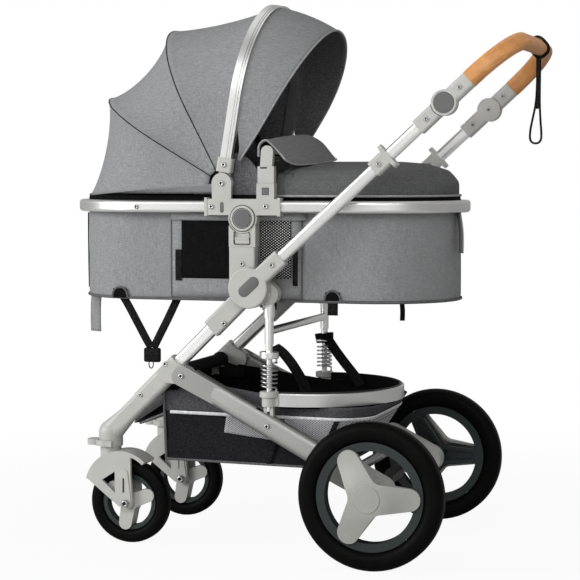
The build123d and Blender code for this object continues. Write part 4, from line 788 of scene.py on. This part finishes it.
# Panels sewn on each side: from and to along the cot, low and high, lift, swell, cloth, rows
SIDE_PANELS = (
    ("window_frame", -228, 51, 516, 686, 0.6, 1.0, cot_cloth, 12),
    ("front_window", -205, -92, 554, 672, 2.6, 1.2, black_cloth, 12),
    ("net_window", -36, 29, 556, 674, 2.6, 0.6, window_net, 12),
    ("window_valance", -228, 60, 672, 688, 4.2, 2.5, cot_cloth, 5),
    ("window_strap", -218, -205, 549, 612, 3.6, 0.8, webbing, 12),
    ("net_strap", 33, 43, 542, 640, 3.6, 0.8, webbing, 12),
)
SIDE_SEAMS = (("front", -228), ("rear", 51))
STRAP_PORTS = (("front", -342), ("rear", 115))


def round_the_cot(s, half, length):
    """A place on a long outline with round ends, with s once round from the middle of the left side."""
    straight = length / 2 - half
    total = 4 * straight + 2 * math.pi * half
    run = (s % 1.0) * total
    if run < straight:
        return RING_MID + run, -half
    run -= straight
    if run < math.pi * half:
        turn = run / half
        return RING_MID + straight + half * math.sin(turn), -half * math.cos(turn)
    run -= math.pi * half
    if run < 2 * straight:
        return RING_MID + straight - run, half
    run -= 2 * straight
    if run < math.pi * half:
        turn = run / half
        return RING_MID - straight - half * math.sin(turn), half * math.cos(turn)
    run -= math.pi * half
    return RING_MID - straight + run, -half


def outside_cot(s, lift):
    """A place round the cot, a little off its wall."""
    return round_the_cot(s, TUB_HALF + lift, TUB_LENGTH + 2 * lift)


def cot_wall():
    """The cot's cloth wall with faint ripples, and the piping round its bottom edge."""
    def place(s, t):
        step = t * (len(WALL_LEVELS) - 1)
        i = min(int(step), len(WALL_LEVELS) - 2)
        low, high = WALL_LEVELS[i], WALL_LEVELS[i + 1]
        z = between(low[0], high[0], step - i)
        x, y = outside_cot(s, -between(low[1], high[1], step - i))
        ripple = noise.noise(Vector((x / 60, y / 60, z / 90))) * 0.9
        push = Vector((x - RING_MID, y * 2.2, 0)).normalized() * ripple
        return at(x + push.x, y + push.y, z)

    made = piece("cot_wall", sheet(192, 32, place), None, cot_cloth, black_cloth)
    outward(made, COT_INSIDE)
    thicken(made, 3, -1.0, 1)
    settle(made)
    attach(made, "seat")
    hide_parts("bassinet_tub")
    bottom = [at(*outside_cot(i / 72, 0.5), 511) for i in range(72)]
    rope("cot_bottom_piping", bottom, 3.0, edge_cloth, "seat", closed=True)


def cot_floor():
    """The stiff board under the cot, covered with dark cloth."""
    form = bmesh.new()
    bmesh.ops.create_circle(form, cap_ends=True, segments=96, radius=1)
    for vert in form.verts:
        turn = math.atan2(vert.co.y, vert.co.x) / (2 * math.pi)
        vert.co = at(*outside_cot(turn + 0.25, -6), 510)
    bmesh.ops.inset_region(form, faces=form.faces[:], thickness=0.02)
    bmesh.ops.recalc_face_normals(form, faces=form.faces)
    thicken(piece("cot_floor", form, "seat", black_cloth, smooth=False), 5, 0.0)


def cot_rim_band():
    """A black band of cloth standing round the cot's mouth."""
    def place(s, t):
        x, y = round_the_cot(s, 175.5 - 2 * t, 801 - 4 * t)
        return at(x, y, between(704, 724, t))

    thicken(piece("cot_rim_band", sheet(160, 4, place), "seat", black_cloth), 2.5, 0.0)


def cot_lining():
    """The cloth inside the wall."""
    def place(s, t):
        return at(*outside_cot(s, -6), between(519, 708, t))

    thicken(piece("cot_lining", sheet(144, 20, place), "seat", hood_lining), 1.5, 0.0)


def cot_ear(side, k):
    """A soft flap of lining that closes the gap under the hood's hinge."""
    def place(s, t):
        x = between(-182, -22, s)
        top = 808 - 96 * abs((x + 98) / 84) ** 2.6
        return at(x, k * (168.5 + 2 * math.sin(math.pi * s) * t), between(706, top, t))

    thicken(piece(f"cot_ear_{side}", sheet(24, 10, place), "seat", hood_lining), 1.6, 0.0)


def side_panel(name, k, x_from, x_to, z_from, z_to, lift, puff, finish, rows=12):
    """A panel sewn on the flat side of the cot."""
    def place(s, t):
        swell = puff * (16 * s * (1 - s) * t * (1 - t)) ** 0.5
        return at(between(x_from, x_to, s), k * (TUB_HALF + lift + swell), between(z_from, z_to, t))

    made = piece(name, sheet(16, rows, place), "seat", finish)
    outward(made, COT_INSIDE)
    thicken(made, 1.2, 1.0)


def strap_port(side, k, end, x):
    """A dark slot in the wall's lower edge with a bound arch over it."""
    side_panel(f"strap_port_{side}_{end}", k, x - 15, x + 15, 511, 530, 1.2, 0.5, black_cloth)
    y = k * (TUB_HALF + 2)
    arch = [at(x + 17 * math.cos(a), y, 512 + 21 * math.sin(a)) for a in [*turns(12, math.pi), math.pi]]
    rope(f"strap_port_edge_{side}_{end}", arch, 2.2, edge_cloth, "seat")


def cot_zip(side, k):
    """A zip up the round front end of the cot."""
    line = [at(*outside_cot(0.75 + k * (0.032 + 0.0016 * (i - 4)), 0.8), 524 + 20 * i) for i in range(9)]
    rope(f"cot_zip_{side}", line, 1.5, black_cloth, "seat")


cot_wall()
cot_floor()
cot_rim_band()
cot_lining()
for side, k in SIDES:
    cot_ear(side, k)
for side, k in SIDES:
    for name, *panel in SIDE_PANELS:
        side_panel(f"{name}_{side}", k, *panel)
    for end, x in SIDE_SEAMS:
        seam = [at(x, k * (TUB_HALF + 1.4), z) for z in (513, 540, 600, 660, 688)]
        rope(f"cot_seam_{side}_{end}", seam, 1.6, edge_cloth, "seat")
    for end, x in STRAP_PORTS:
        strap_port(side, k, end, x)
    cot_zip(side, k)


# Padded pieces, blown up as cloth

PUFF_FRAMES = 20
PUFF_CAP = 4.0
PUFF_DRAWN_IN = 2.0


def balloon(name, node, finish, voxel):
    """The node's solid as an even closed mesh with soft edges, drawn in a little."""
    form = bmesh.new()
    form.from_mesh(nodes[node].data)
    bmesh.ops.remove_doubles(form, verts=form.verts, dist=1e-5)
    made = piece(name, form, None, finish)
    remesh = made.modifiers.new("even", "REMESH")
    remesh.mode = "VOXEL"
    remesh.voxel_size = voxel / 1000
    settle(made)
    form = bmesh.new()
    form.from_mesh(made.data)
    bmesh.ops.smooth_vert(
        form, verts=form.verts, factor=0.5, use_axis_x=True, use_axis_y=True, use_axis_z=True,
    )
    for vert in form.verts:
        vert.co -= vert.normal * (PUFF_DRAWN_IN / 1000)
    form.to_mesh(made.data)
    form.free()
    return made


def blow_up(made):
    """Cloth under pressure from inside, no point of it moved further than a cap."""
    rest = [vert.co.copy() for vert in made.data.vertices]
    swell = made.modifiers.new("swell", "CLOTH")
    swell.settings.use_pressure = True
    swell.settings.uniform_pressure_force = 4.0
    swell.settings.tension_stiffness = 40
    swell.settings.compression_stiffness = 40
    swell.settings.effector_weights.gravity = 0
    swell.settings.quality = 5
    swell.point_cache.frame_start = 1
    swell.point_cache.frame_end = PUFF_FRAMES
    for number in range(1, PUFF_FRAMES + 1):
        scene.frame_set(number)
    settle(made)
    scene.frame_set(1)
    for vert, start in zip(made.data.vertices, rest):
        move = vert.co - start
        if move.length > PUFF_CAP / 1000:
            vert.co = start + move.normalized() * (PUFF_CAP / 1000)


def puffed(name, node, finish, voxel):
    """A padded piece of the seat in place of a plain solid."""
    made = balloon(name, node, finish, voxel)
    blow_up(made)
    for face in made.data.polygons:
        face.use_smooth = True
    made.data.materials.clear()
    made.data.materials.append(finish)
    soften(made)
    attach(made, "seat")
    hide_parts(node)
    return made


foot_cover = puffed("foot_cover_pad", "foot_cover", dark_cloth_and_painted_shade, 5.0)
puffed("mattress_pad", "mattress", cotton, 6.0)


# Edge of the foot cover

COVER_HALF = 184.0
COVER_HEM = 722
COVER_TIP = -2


def cover_front_half(x):
    """Half width of the foot cover's lower edge, drawn in beside the bumper's sockets."""
    return COVER_HALF - 7.5 + 7.5 * clamped((x - 3) / 17)


def cover_corner(side, k):
    """The tucked corner of the foot cover beside the bumper's socket."""
    def place(s, t):
        x = COVER_TIP + 34 * s
        y = cover_front_half(x) - 1.5 - 14 * t ** 3 - 5 * s ** 5
        return at(x, k * y, COVER_HEM - 1 + 46 * t)

    corner = piece(f"foot_cover_corner_{side}", sheet(14, 10, place), "seat", dark_cloth_and_painted_shade)
    thicken(corner, 2.0, 0.0)


def cover_piping():
    """Piping round the foot cover's lower edge: two straight sides and a round end."""
    front, centre = 22, 150.0
    near = [at(x, -cover_front_half(x), COVER_HEM) for x in range(COVER_TIP, front, 4)]
    near += [at(between(front, centre, i / 6), -COVER_HALF, COVER_HEM) for i in range(7)]
    end = []
    for a in turns(24, math.pi)[1:]:
        end.append(at(centre + COVER_HALF * math.sin(a), -COVER_HALF * math.cos(a), COVER_HEM))
    rope("foot_cover_piping", near + end + mirrored(near)[::-1], 2.4, soft_piping, "seat")


for side, k in SIDES:
    cover_corner(side, k)
cover_piping()


# Bumper wrap

BOW_MID = -388.3
BOW_R = 417.3
SLEEVE_FROM = -190.0
SLEEVE_TO = 134.0
SLEEVE_HALF = 17.0
SLEEVE_TOP = 847.0
SLEEVE_WALL = 4.0
CROWN = 18.0
FRONT_HEM = 801.0


def bar_x(y):
    """The bumper's bow seen from above."""
    return BOW_MID + math.sqrt(BOW_R ** 2 - y ** 2)


def flap(y):
    """Top, hem height and reach of the wrap's rear flap."""
    near = 13 * max(0.0, -y / 190) ** 3
    far = 21 * math.sin(math.pi / 2 * clamped((y + 60) / 210)) ** 1.5
    hem = 784 + 14 * eased((y + 150) / 260) + 10 * max(0.0, (-150 - y) / 40) ** 2
    reach = 36 + 4 * eased((-120 - y) / 70) - 17 * eased((y - 20) / 114)
    return SLEEVE_TOP - near - far, hem, reach


def flap_height(u, y):
    """The wrap's height at a distance behind the bar's middle."""
    top, hem, reach = flap(y)
    return top + (hem - top) * (u / reach) ** 1.15


def bumper_sleeve():
    """A padded wrap over the bumper's bar: upright front flap, round crown, rear flap that slopes out."""
    def place(s, t):
        y = between(SLEEVE_FROM, SLEEVE_TO, t)
        top, _, reach = flap(y)
        if s < 0.25:
            u, z = -SLEEVE_HALF, FRONT_HEM + (top - CROWN - FRONT_HEM) * s / 0.25
        elif s < 0.5:
            turn = math.pi * (1 - (s - 0.25) / 0.5)
            u, z = SLEEVE_HALF * math.cos(turn), top - CROWN + CROWN * math.sin(turn)
        else:
            u = reach * (s - 0.5) / 0.5
            z = flap_height(u, y)
        crease = noise.noise(Vector((y / 45 + s, s * 3, 0.7))) * 1.2
        return at(bar_x(y) + u * (1 + crease / 30), y, z + crease * 0.5)

    made = piece("bumper_sleeve", sheet(28, 64, place), None, sleeve_cloth_painted_light, black_cloth)
    outward(made, at(-14, 0, 805))
    thicken(made, SLEEVE_WALL, -1.0, 1)
    soften(made)
    settle(made)
    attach(made, "bumper")
    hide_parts("bumper_pad")
    edge = [place(0, i / 32) for i in range(33)] + [place(i / 24, 1) for i in range(1, 24)]
    edge += [place(1, 1 - i / 32) for i in range(33)] + [place(1 - i / 24, 0) for i in range(1, 24)]
    rope("bumper_piping", edge, 1.8, soft_piping, "bumper", closed=True)


def press_under_flap(made):
    """The foot cover gives way where the bumper's wrap lies on it."""
    for vert in made.data.vertices:
        x, y, z = vert.co * 1000
        if abs(y) > 186:
            continue
        reach = flap(y)[2]
        u = x - bar_x(y)
        if z > 770 and -SLEEVE_HALF < u < reach + 24:
            under = flap_height(min(max(u, 0.0), reach), y) - SLEEVE_WALL - 2.5
            free = eased((u - reach - 4) / 20) + eased((y - SLEEVE_TO - 6) / 16)
            vert.co.z = min(z, under + 30 * min(free, 1.0)) / 1000


bumper_sleeve()
press_under_flap(foot_cover)


# Basket

BASKET_INSIDE = at(-60, 0, 260)
BAND_LOW = 277
HOOP_CENTRE = 16
HOOP_TOP = 328.2


def basket_outline(s, z, inset=0.0):
    """A place on the basket's wall, with s from the front left corner round the rear to the right one."""
    lift = (z - BASKET_FLOOR) / (BASKET_BRIM - BASKET_FLOOR)
    front = BASKET_FRONT + inset
    rear = between(*BASKET_REAR, lift) - inset
    half_front = between(*BASKET_FRONT_HALF, lift) - inset
    half_rear = between(*BASKET_REAR_HALF, lift) - inset
    bend_x, bend_y = rear - BASKET_CORNER, half_rear - BASKET_CORNER
    side = math.hypot(bend_x - front, half_rear - half_front)
    bend = math.pi * BASKET_CORNER / 2
    total = 2 * side + 2 * bend + 2 * bend_y
    run = s * total
    mirror = run > total / 2
    if mirror:
        run = total - run
    if run < side:
        x, y = between(front, bend_x, run / side), between(half_front, half_rear, run / side)
    elif run < side + bend:
        a = (run - side) / BASKET_CORNER
        x, y = bend_x + BASKET_CORNER * math.sin(a), bend_y + BASKET_CORNER * math.cos(a)
    else:
        x, y = rear, bend_y - (run - side - bend)
    return x, (y if mirror else -y)


def basket_top(x):
    """Height of the basket's upper edge: low in the hoop, rising to the front, cut away at the cross tube."""
    if x > 11:
        return 300
    if x > -33:
        return 300 + 16 * min((11 - x) / 18, 1)
    if x > -208:
        return 316 + 0.165 * (-33 - x)
    return max(BASKET_FRONT_TOP, 345 - 1.5 * (-208 - x))


def basket_wall():
    """Side and rear wall: a paler band at the top, slack dark cloth below."""
    def place(s, t):
        z = between(BASKET_FLOOR, basket_top(basket_outline(s, BASKET_FLOOR)[0]), t)
        x, y = basket_outline(s, min(z, BASKET_BRIM))
        slack = math.sin(math.pi * t) * 3.0 + noise.noise(Vector((x / 70, y / 70, z / 40))) * 2.2
        fold = noise.noise(Vector(((x + z) / 26, y / 90, (z - 0.5 * x) / 60))) * 3.4 * (1 - t)
        push = Vector((x * 0.4, y, 0)).normalized() * (slack + abs(fold))
        return at(x - push.x * 0.5, y - push.y * 0.5, z)

    form = sheet(128, 24, place)
    made = piece("basket_wall", form, None, basket_cloth, black_cloth, band_cloth, black_cloth)
    for face in made.data.polygons:
        face.material_index = 2 if face.center.z > BAND_LOW / 1000 else 0
    outward(made, BASKET_INSIDE)
    thicken(made, 2.5, -1.0, 1)
    settle(made)
    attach(made, "spring_base")
    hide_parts("storage_basket")


def basket_front():
    """The basket's front wall, bowed out a little."""
    def place(s, t):
        half = between(*BASKET_FRONT_HALF, min(t * 1.16, 1.0))
        x = BASKET_FRONT - 6 * math.sin(math.pi * s)
        return at(x, half * (2 * s - 1), between(BASKET_FLOOR, BASKET_FRONT_TOP, t))

    made = piece("basket_front", sheet(24, 14, place), "spring_base", basket_cloth)
    thicken(made, 2.5, 0.0)


def basket_floor():
    """The sagging floor, with the rear corners of the wall."""
    low_rear, bend_from, bend_half = BASKET_REAR[0], 50, 92

    def place(s, t):
        x = between(BASKET_FRONT, low_rear, s)
        half = between(BASKET_FRONT_HALF[0], BASKET_REAR_HALF[0], s)
        past = x - bend_from
        if past > 0:
            half = min(half, bend_half + math.sqrt(max(0.0, BASKET_CORNER ** 2 - past ** 2)))
        sag = math.sin(math.pi * s) * (1 - (2 * t - 1) ** 2) * 4
        return at(x, half * (2 * t - 1), BASKET_FLOOR + 1 - sag)

    made = piece("basket_floor", sheet(32, 16, place), "spring_base", basket_cloth)
    thicken(made, 2.5, 0.0)


def free_edge(place, steps):
    """The three free edges of a sheet that is sewn on where t is 0."""
    down = [place(0, i / steps) for i in range(steps)]
    across = [place(i / 24, 1) for i in range(25)]
    back = [place(1, 1 - i / steps) for i in range(1, steps + 1)]
    return down + across + back


def basket_nose():
    """A sloping hood over the basket's front pocket, with skirts at its sides and its end."""
    def place(s, t):
        across = 2 * s - 1
        side = min(abs(across) / 0.82, 1)
        skirt = max(0.0, (abs(across) - 0.82) / 0.18)
        reach = min(t / 0.85, 1) * (1 - 0.1 * side ** 3)
        drop = max(0.0, (t - 0.85) / 0.15)
        z = 319 - 60 * reach - 20 * max(skirt, drop)
        return at(BASKET_FRONT - 2 - 90 * reach, math.copysign(114 * side, across), z)

    made = piece("basket_nose", sheet(40, 20, place), "spring_base", dark_cloth_and_painted_shade)
    outward(made, at(-270, 0, 240))
    thicken(made, 2.0, -1.0)
    rope("basket_nose_binding", free_edge(place, 8), 1.8, edge_cloth, "spring_base")


def basket_shelf():
    """A second, shorter flap under the nose."""
    def place(s, t):
        across = 2 * s - 1
        reach = t * (1 - 0.12 * abs(across) ** 3)
        return at(BASKET_FRONT - 2 - 82 * reach, 108 * across, 272 - 34 * reach)

    made = piece("basket_shelf", sheet(24, 8, place), "spring_base", dark_cloth_and_painted_shade)
    thicken(made, 2.0, 0.0)
    rope("basket_shelf_binding", free_edge(place, 6), 2.4, soft_piping, "spring_base")


def on_basket(name, columns, rows, s_range, low_range, top, lift, thickness, finish):
    """A strip on the basket's wall, its lower edge sloping from one height to another."""
    def place(s, t):
        z = between(between(*low_range, s), top, t)
        x, y = basket_outline(between(*s_range, s), z, -lift)
        return at(x, y, z)

    made = piece(name, sheet(columns, rows, place), "spring_base", finish)
    outward(made, BASKET_INSIDE)
    thicken(made, thickness, 1.0)


def basket_bindings():
    """Binding round the basket's floor and up its front corners."""
    z_low = 176
    lower = [at(*basket_outline(i / 60, z_low, -0.8), z_low) for i in range(61)]
    rope("basket_lower_binding", lower, 2.6, edge_cloth, "spring_base")
    for side, k in SIDES:
        corner = []
        for z in range(z_low, BASKET_FRONT_TOP + 1, 16):
            half = between(*BASKET_FRONT_HALF, min((z - BASKET_FLOOR) / 126, 1))
            corner.append(at(BASKET_FRONT - 1, k * half, z))
        rope(f"basket_corner_{side}", corner, 3.0, edge_cloth, "spring_base")


def basket_nets():
    """Net panels round the basket and the webbing ties over them."""
    for end, s_range, low_range in (
        ("left", (0.12, 0.36), (238, 212)),
        ("rear", (0.36, 0.64), (212, 212)),
        ("right", (0.64, 0.88), (212, 238)),
    ):
        on_basket(f"basket_net_{end}", 40, 8, s_range, low_range, 274, 0.8, 1.0, basket_net)
    for side, shares in (("left", (0.225, 0.325)), ("right", (0.775, 0.675))):
        for number, share in enumerate(shares):
            tie = [at(*basket_outline(share, z, -2.6), z) for z in (178, 200, 225, 250, 272)]
            ribbon(f"basket_tie_{side}_{number}", tie, 11, 1.4, (1, 0, 0), webbing, "spring_base")


def hoop_edge():
    """A black bead along the hoop's upper edge."""
    radius = 192
    rim = [at(HOOP_CENTRE - 5, -radius, HOOP_TOP)]
    for turn in [*turns(36, math.pi), math.pi]:
        rim.append(at(HOOP_CENTRE + radius * math.sin(turn), -radius * math.cos(turn), HOOP_TOP))
    rim.append(at(HOOP_CENTRE - 5, radius, HOOP_TOP))
    rope("basket_hoop_edge", rim, 2.0, black_plastic, "spring_base")


def hoop_liner():
    """Black cloth that lines the inside of the basket's hoop."""
    radius = 188

    def place(s, t):
        turn = math.pi * (1.06 * s - 0.03)
        x = max(HOOP_CENTRE + radius * math.sin(turn), HOOP_CENTRE - 8)
        return at(x, -radius * math.cos(min(max(turn, 0), math.pi)), between(296, 329, t))

    thicken(piece("basket_hoop_liner", sheet(72, 3, place), "spring_base", black_cloth), 1.0, 0.0)


def front_valance():
    """Cloth wrapped over the front cross tube and its bosses that hangs in front of the basket."""
    tube_x, tube_z = CROSS_TUBE

    def place(s, t):
        across = 2 * s - 1
        wide = 13.2 + 3.6 * clamped((abs(across) - 0.88) / 0.06)
        if t < 0.6:
            turn = math.radians(-40 + 230 * t / 0.6)
            x, z = tube_x + wide * math.cos(turn), tube_z + wide * math.sin(turn)
        else:
            down = (t - 0.6) / 0.4
            x, z = tube_x - wide - (21 - wide) * down ** 0.6, tube_z - 2 - 41 * down
        ripple = noise.noise(Vector((across * 4, t * 2, 0.3))) * 1.2 * max(0.0, t - 0.6)
        return at(x - ripple, 157.5 * across, z)

    made = piece("basket_valance", sheet(48, 27, place), "chassis", basket_cloth)
    outward(made, at(tube_x, 0, tube_z))
    thicken(made, 1.6, 1.0)
    rope("basket_valance_hem", [place(i / 24, 1) for i in range(25)], 1.8, edge_cloth, "chassis")


def valance_wing(side, k):
    """Cloth from the valance back along the basket's side, just inside its wall."""
    def place(s, t):
        x = between(-238, -180, s)
        top = 338 if x < -224 else 351 - 0.34 * (x + 224)
        return at(x, k * 147, between(316, top, t))

    made = piece(f"valance_wing_{side}", sheet(24, 6, place), "chassis", basket_cloth)
    thicken(made, 1.4, 0.0)


basket_wall()
basket_front()
basket_floor()
basket_nose()
basket_shelf()
on_basket("basket_piping", 120, 2, (0.012, 0.988), (272.5, 272.5), 279, 1.4, 1.4, silver_piping)
basket_bindings()
basket_nets()
hoop_edge()
hoop_liner()
front_valance()
for side, k in SIDES:
    valance_wing(side, k)


# Webbing

BUCKLE = (-285, -134, 390)


def cot_strap():
    """The V of webbing under the cot's left side, with its buckle and ring."""
    x, y, z = BUCKLE
    front = [
        at(-342, -160, 516), at(-337, -156, 508), at(-319, -148, 470),
        at(-296, -137, 420), at(x - 3, y, z + 15),
    ]
    ribbon("front_strap", front, 17, 1.6, (1, 0, 0.35), webbing, "seat", "cot_wall")
    back = [at(-222, -150, 512), at(-241, -146, 475), at(-272, -136, 424), at(x + 3, y, z + 15)]
    ribbon("front_strap_rear", back, 17, 1.6, (1, 0, -0.35), webbing, "seat", "cot_wall")
    form = bmesh.new()
    bmesh.ops.create_cube(form, size=1)
    bmesh.ops.scale(form, verts=form.verts, vec=at(36, 12, 30))
    edges = form.edges[:]
    bmesh.ops.bevel(form, geom=edges, offset=0.004, affect="EDGES", segments=3, profile=0.5, material=-1)
    bmesh.ops.translate(form, verts=form.verts, vec=at(x, y, z))
    piece("strap_buckle", form, "seat", webbing)
    ring = [at(x - 3 + 5 * math.cos(a), y, z - 19 + 9 * math.sin(a)) for a in turns(16)]
    rope("strap_ring", ring, 1.2, black_plastic, "seat", closed=True)


def basket_straps():
    """Webbing from the struts to the basket, riding on the strut."""
    run = [
        at(-4, -180, 421), at(8, -178, 414), at(26, -165, 389),
        at(37, -138, 357), at(42, -120, 335), at(46, -112, 314),
    ]
    strap = ribbon("basket_strap_left", run, 21, 1.8, (0.85, 0.2, 0.4), webbing, None, "strut_rods")
    shortens(settle(strap))
    run = [at(-2, 184, 410), at(14, 183, 386), at(42, 180, 352), at(72, 173, 320), at(82, 166, 304)]
    strap = ribbon("basket_strap_right", run, 24, 1.8, (0.85, -0.2, 0.4), webbing, None, "basket_strap_wrap")
    shortens(settle(strap))
    wrap = []
    for a in turns(16):
        wrap.append(at(STRUT_X + 19 * math.cos(a), 196 + 19 * math.sin(a), 405 + 2 * math.cos(a)))
    rope("basket_strap_wrap", wrap, 1.2, webbing, "strut", closed=True, flat=9.0)


cot_strap()
basket_straps()
tab = [at(-441, -62, 512), at(-442, -64, 496), at(-443, -64, 460), at(-442, -64, 430)]
ribbon("front_tab", tab, 32, 1.8, (0.9, -0.45, 0), cot_cloth, "seat", "cot_wall")
tab = [at(340, -30, 688), at(344, -31, 668), at(347, -32, 636), at(346, -32, 606)]
ribbon("rear_tab", tab, 26, 1.8, (0.5, -0.85, 0), cot_cloth, "seat", "cot_wall")
hang = [at(115, -165, 522), at(115, -167, 512), at(115.5, -168.5, 500), at(115, -168, 484)]
ribbon("port_strap", hang, 21, 1.8, (1, 0, 0), webbing, "seat", "cot_wall")
tassel = [at(-4, -176, 512), at(-4, -177, 504), at(-5, -177, 494)]
ribbon("hub_tassel", tassel, 10, 1.6, (1, 0, 0), webbing, "chassis", "hub_bases")
pull = [at(229, -60, 511), at(231, -60, 500), at(232, -60, 482), at(231, -60, 468)]
ribbon("rear_pull", pull, 10, 1.6, (1, 0, 0), webbing, "seat", "cot_wall")


# Wrist strap

STRAP_Y = 60
STRAP = [
    (481.6, 1006.0), (481.8, 978.0), (481.6, 948.0), (480.0, 910.0), (471.8, 872.0), (468.2, 853.0),
    (467.5, 835.0), (474.5, 828.0), (484.5, 828.0), (491.5, 835.0), (491.2, 853.0), (489.4, 872.0),
    (487.2, 910.0), (487.4, 948.0), (487.6, 978.0), (487.8, 1006.0),
]


def wrist_strap_cord():
    """The hanging loop of cord."""
    line = curve("wrist_strap_cord", [at(x, STRAP_Y, z) for x, z in STRAP], 6)
    line.bevel_depth = 0.0023
    line.bevel_resolution = 3
    line.use_fill_caps = True
    line.materials.append(webbing)
    made = bpy.data.objects.new("wrist_strap_cord", line)
    scene.collection.objects.link(made)
    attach(made, "handlebar")
    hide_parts("wrist_strap")


def wrist_strap_wrap():
    """The band round the grip, with a rounded square section."""
    x, z = HINGE[0] + 179 * HANDLE_DIR[0], HINGE[1] + 179 * HANDLE_DIR[1]
    loop = []
    for a in turns(24):
        c, s = math.cos(a), math.sin(a)
        along = 16.4 * math.copysign(abs(c) ** 0.7, c)
        above = 20.4 * math.copysign(abs(s) ** 0.7, s)
        loop.append(at(
            x + along * HANDLE_DIR[0] - above * HANDLE_DIR[1], STRAP_Y,
            z + along * HANDLE_DIR[1] + above * HANDLE_DIR[0],
        ))
    rope("wrist_strap_wrap", loop, 1.2, webbing, "handlebar", closed=True, flat=2.2)


def wrist_strap_ends():
    """The keeper round the cord's two strands, and the short ends up to the band."""
    strands = [(484.6, 998), (484.6, 975), (484.5, 948), (483.7, 915), (482.6, 898)]
    keeper = [at(x, STRAP_Y, z) for x, z in strands]
    ribbon("wrist_strap_keeper", keeper, 5, 2.6, (1, 0, 0), webbing, "handlebar")
    front = [at(464, 57, 1021), at(472, 57, 1011), at(481, 58, 1003), at(484.6, STRAP_Y, 996)]
    rope("wrist_strap_front", front, 2.2, webbing, "handlebar")
    rear = [at(500, 57, 1012), at(494, 57, 1006), at(488, 58, 1000), at(484.6, STRAP_Y, 994)]
    rope("wrist_strap_rear", rear, 2.2, webbing, "handlebar")


wrist_strap_cord()
wrist_strap_wrap()
wrist_strap_ends()


# Studio

# Name, place, aim, size, watts and spread in degrees
LAMPS = (
    ("key", (-3.2, -2.5, 1.6), (0, 0, 0.6), 2.2, 126, 180),
    ("fill", (1.9, -3.2, 1.7), (0, 0, 0.6), 2.2, 19, 180),
    ("front", (0.1, -3.6, 2.6), (0, 0, 0.95), 1.8, 46, 180),
    ("top", (0.1, 0.6, 3.6), (0, 0, 0.7), 2.6, 12, 180),
    ("handle", (1.7, -2.3, 2.5), (0.42, 0.1, 0.95), 0.3, 0.2, 14),
)


def floor_finish():
    """A pale floor that keeps the shadow, and fades to white for the camera away from the stroller."""
    finish = bpy.data.materials.new("pale floor")
    finish.use_nodes = True
    tree = finish.node_tree
    tree.nodes.clear()
    out = tree.nodes.new("ShaderNodeOutputMaterial")
    ray = tree.nodes.new("ShaderNodeLightPath")
    glow = add_node(finish, "ShaderNodeEmission", Strength=1.0)
    matte = add_node(finish, "ShaderNodeBsdfDiffuse", Color=(0.62, 0.62, 0.62, 1))
    where = tree.nodes.new("ShaderNodeTexCoord")
    away = tree.nodes.new("ShaderNodeVectorMath")
    away.operation = "LENGTH"
    fade = add_node(finish, "ShaderNodeMapRange", From_Min=0.6, From_Max=2.0, To_Min=0.93, To_Max=1.0)
    fade.interpolation_type = "SMOOTHSTEP"
    tree.links.new(where.outputs["Object"], away.inputs[0])
    tree.links.new(away.outputs["Value"], fade.inputs["Value"])
    share = mixed(finish, ray.outputs["Is Camera Ray"], fade.outputs["Result"], "MULTIPLY")
    both = tree.nodes.new("ShaderNodeMixShader")
    tree.links.new(share, both.inputs["Fac"])
    tree.links.new(matte.outputs[0], both.inputs[1])
    tree.links.new(glow.outputs[0], both.inputs[2])
    tree.links.new(both.outputs[0], out.inputs["Surface"])
    return finish


def studio_floor():
    """A large plain floor under the wheels."""
    form = bmesh.new()
    bmesh.ops.create_grid(form, x_segments=1, y_segments=1, size=14)
    piece("floor", form, None, floor_finish(), smooth=False)


def studio_world():
    """White behind the stroller, and a softer even light on it."""
    world = bpy.data.worlds.new("studio")
    scene.world = world
    world.use_nodes = True
    tree = world.node_tree
    tree.nodes.clear()
    out = tree.nodes.new("ShaderNodeOutputWorld")
    back = add_node(world, "ShaderNodeBackground", Color=(1, 1, 1, 1))
    soft = add_node(world, "ShaderNodeBackground", Color=(1, 1, 1, 1), Strength=0.42)
    ray = tree.nodes.new("ShaderNodeLightPath")
    seen = mixed(world, ray.outputs["Is Camera Ray"], ray.outputs["Is Transmission Ray"], "MAXIMUM")
    both = tree.nodes.new("ShaderNodeMixShader")
    tree.links.new(seen, both.inputs["Fac"])
    tree.links.new(soft.outputs[0], both.inputs[1])
    tree.links.new(back.outputs[0], both.inputs[2])
    tree.links.new(both.outputs[0], out.inputs["Surface"])


def studio_lamps():
    """Soft boxes round the stroller, each turned to its aim."""
    for name, place, aim, size, watts, spread in LAMPS:
        lamp = bpy.data.lights.new(name, "AREA")
        lamp.size = size
        lamp.energy = watts
        lamp.spread = math.radians(spread)
        box = bpy.data.objects.new(name, lamp)
        box.location = place
        box.rotation_euler = (Vector(aim) - Vector(place)).to_track_quat("-Z", "Y").to_euler()
        scene.collection.objects.link(box)


def photo_camera():
    """The camera at the photograph's viewing angle."""
    lens = bpy.data.cameras.new("photo camera")
    lens.sensor_width = 36
    lens.lens = 114.53
    eye = bpy.data.objects.new("photo camera", lens)
    eye.location = at(1136.1, -3694.9, 771.3)
    eye.rotation_euler = (math.radians(90 - 3.683), 0, math.radians(17.475))
    scene.collection.objects.link(eye)
    scene.camera = eye


studio_floor()
studio_world()
studio_lamps()
photo_camera()
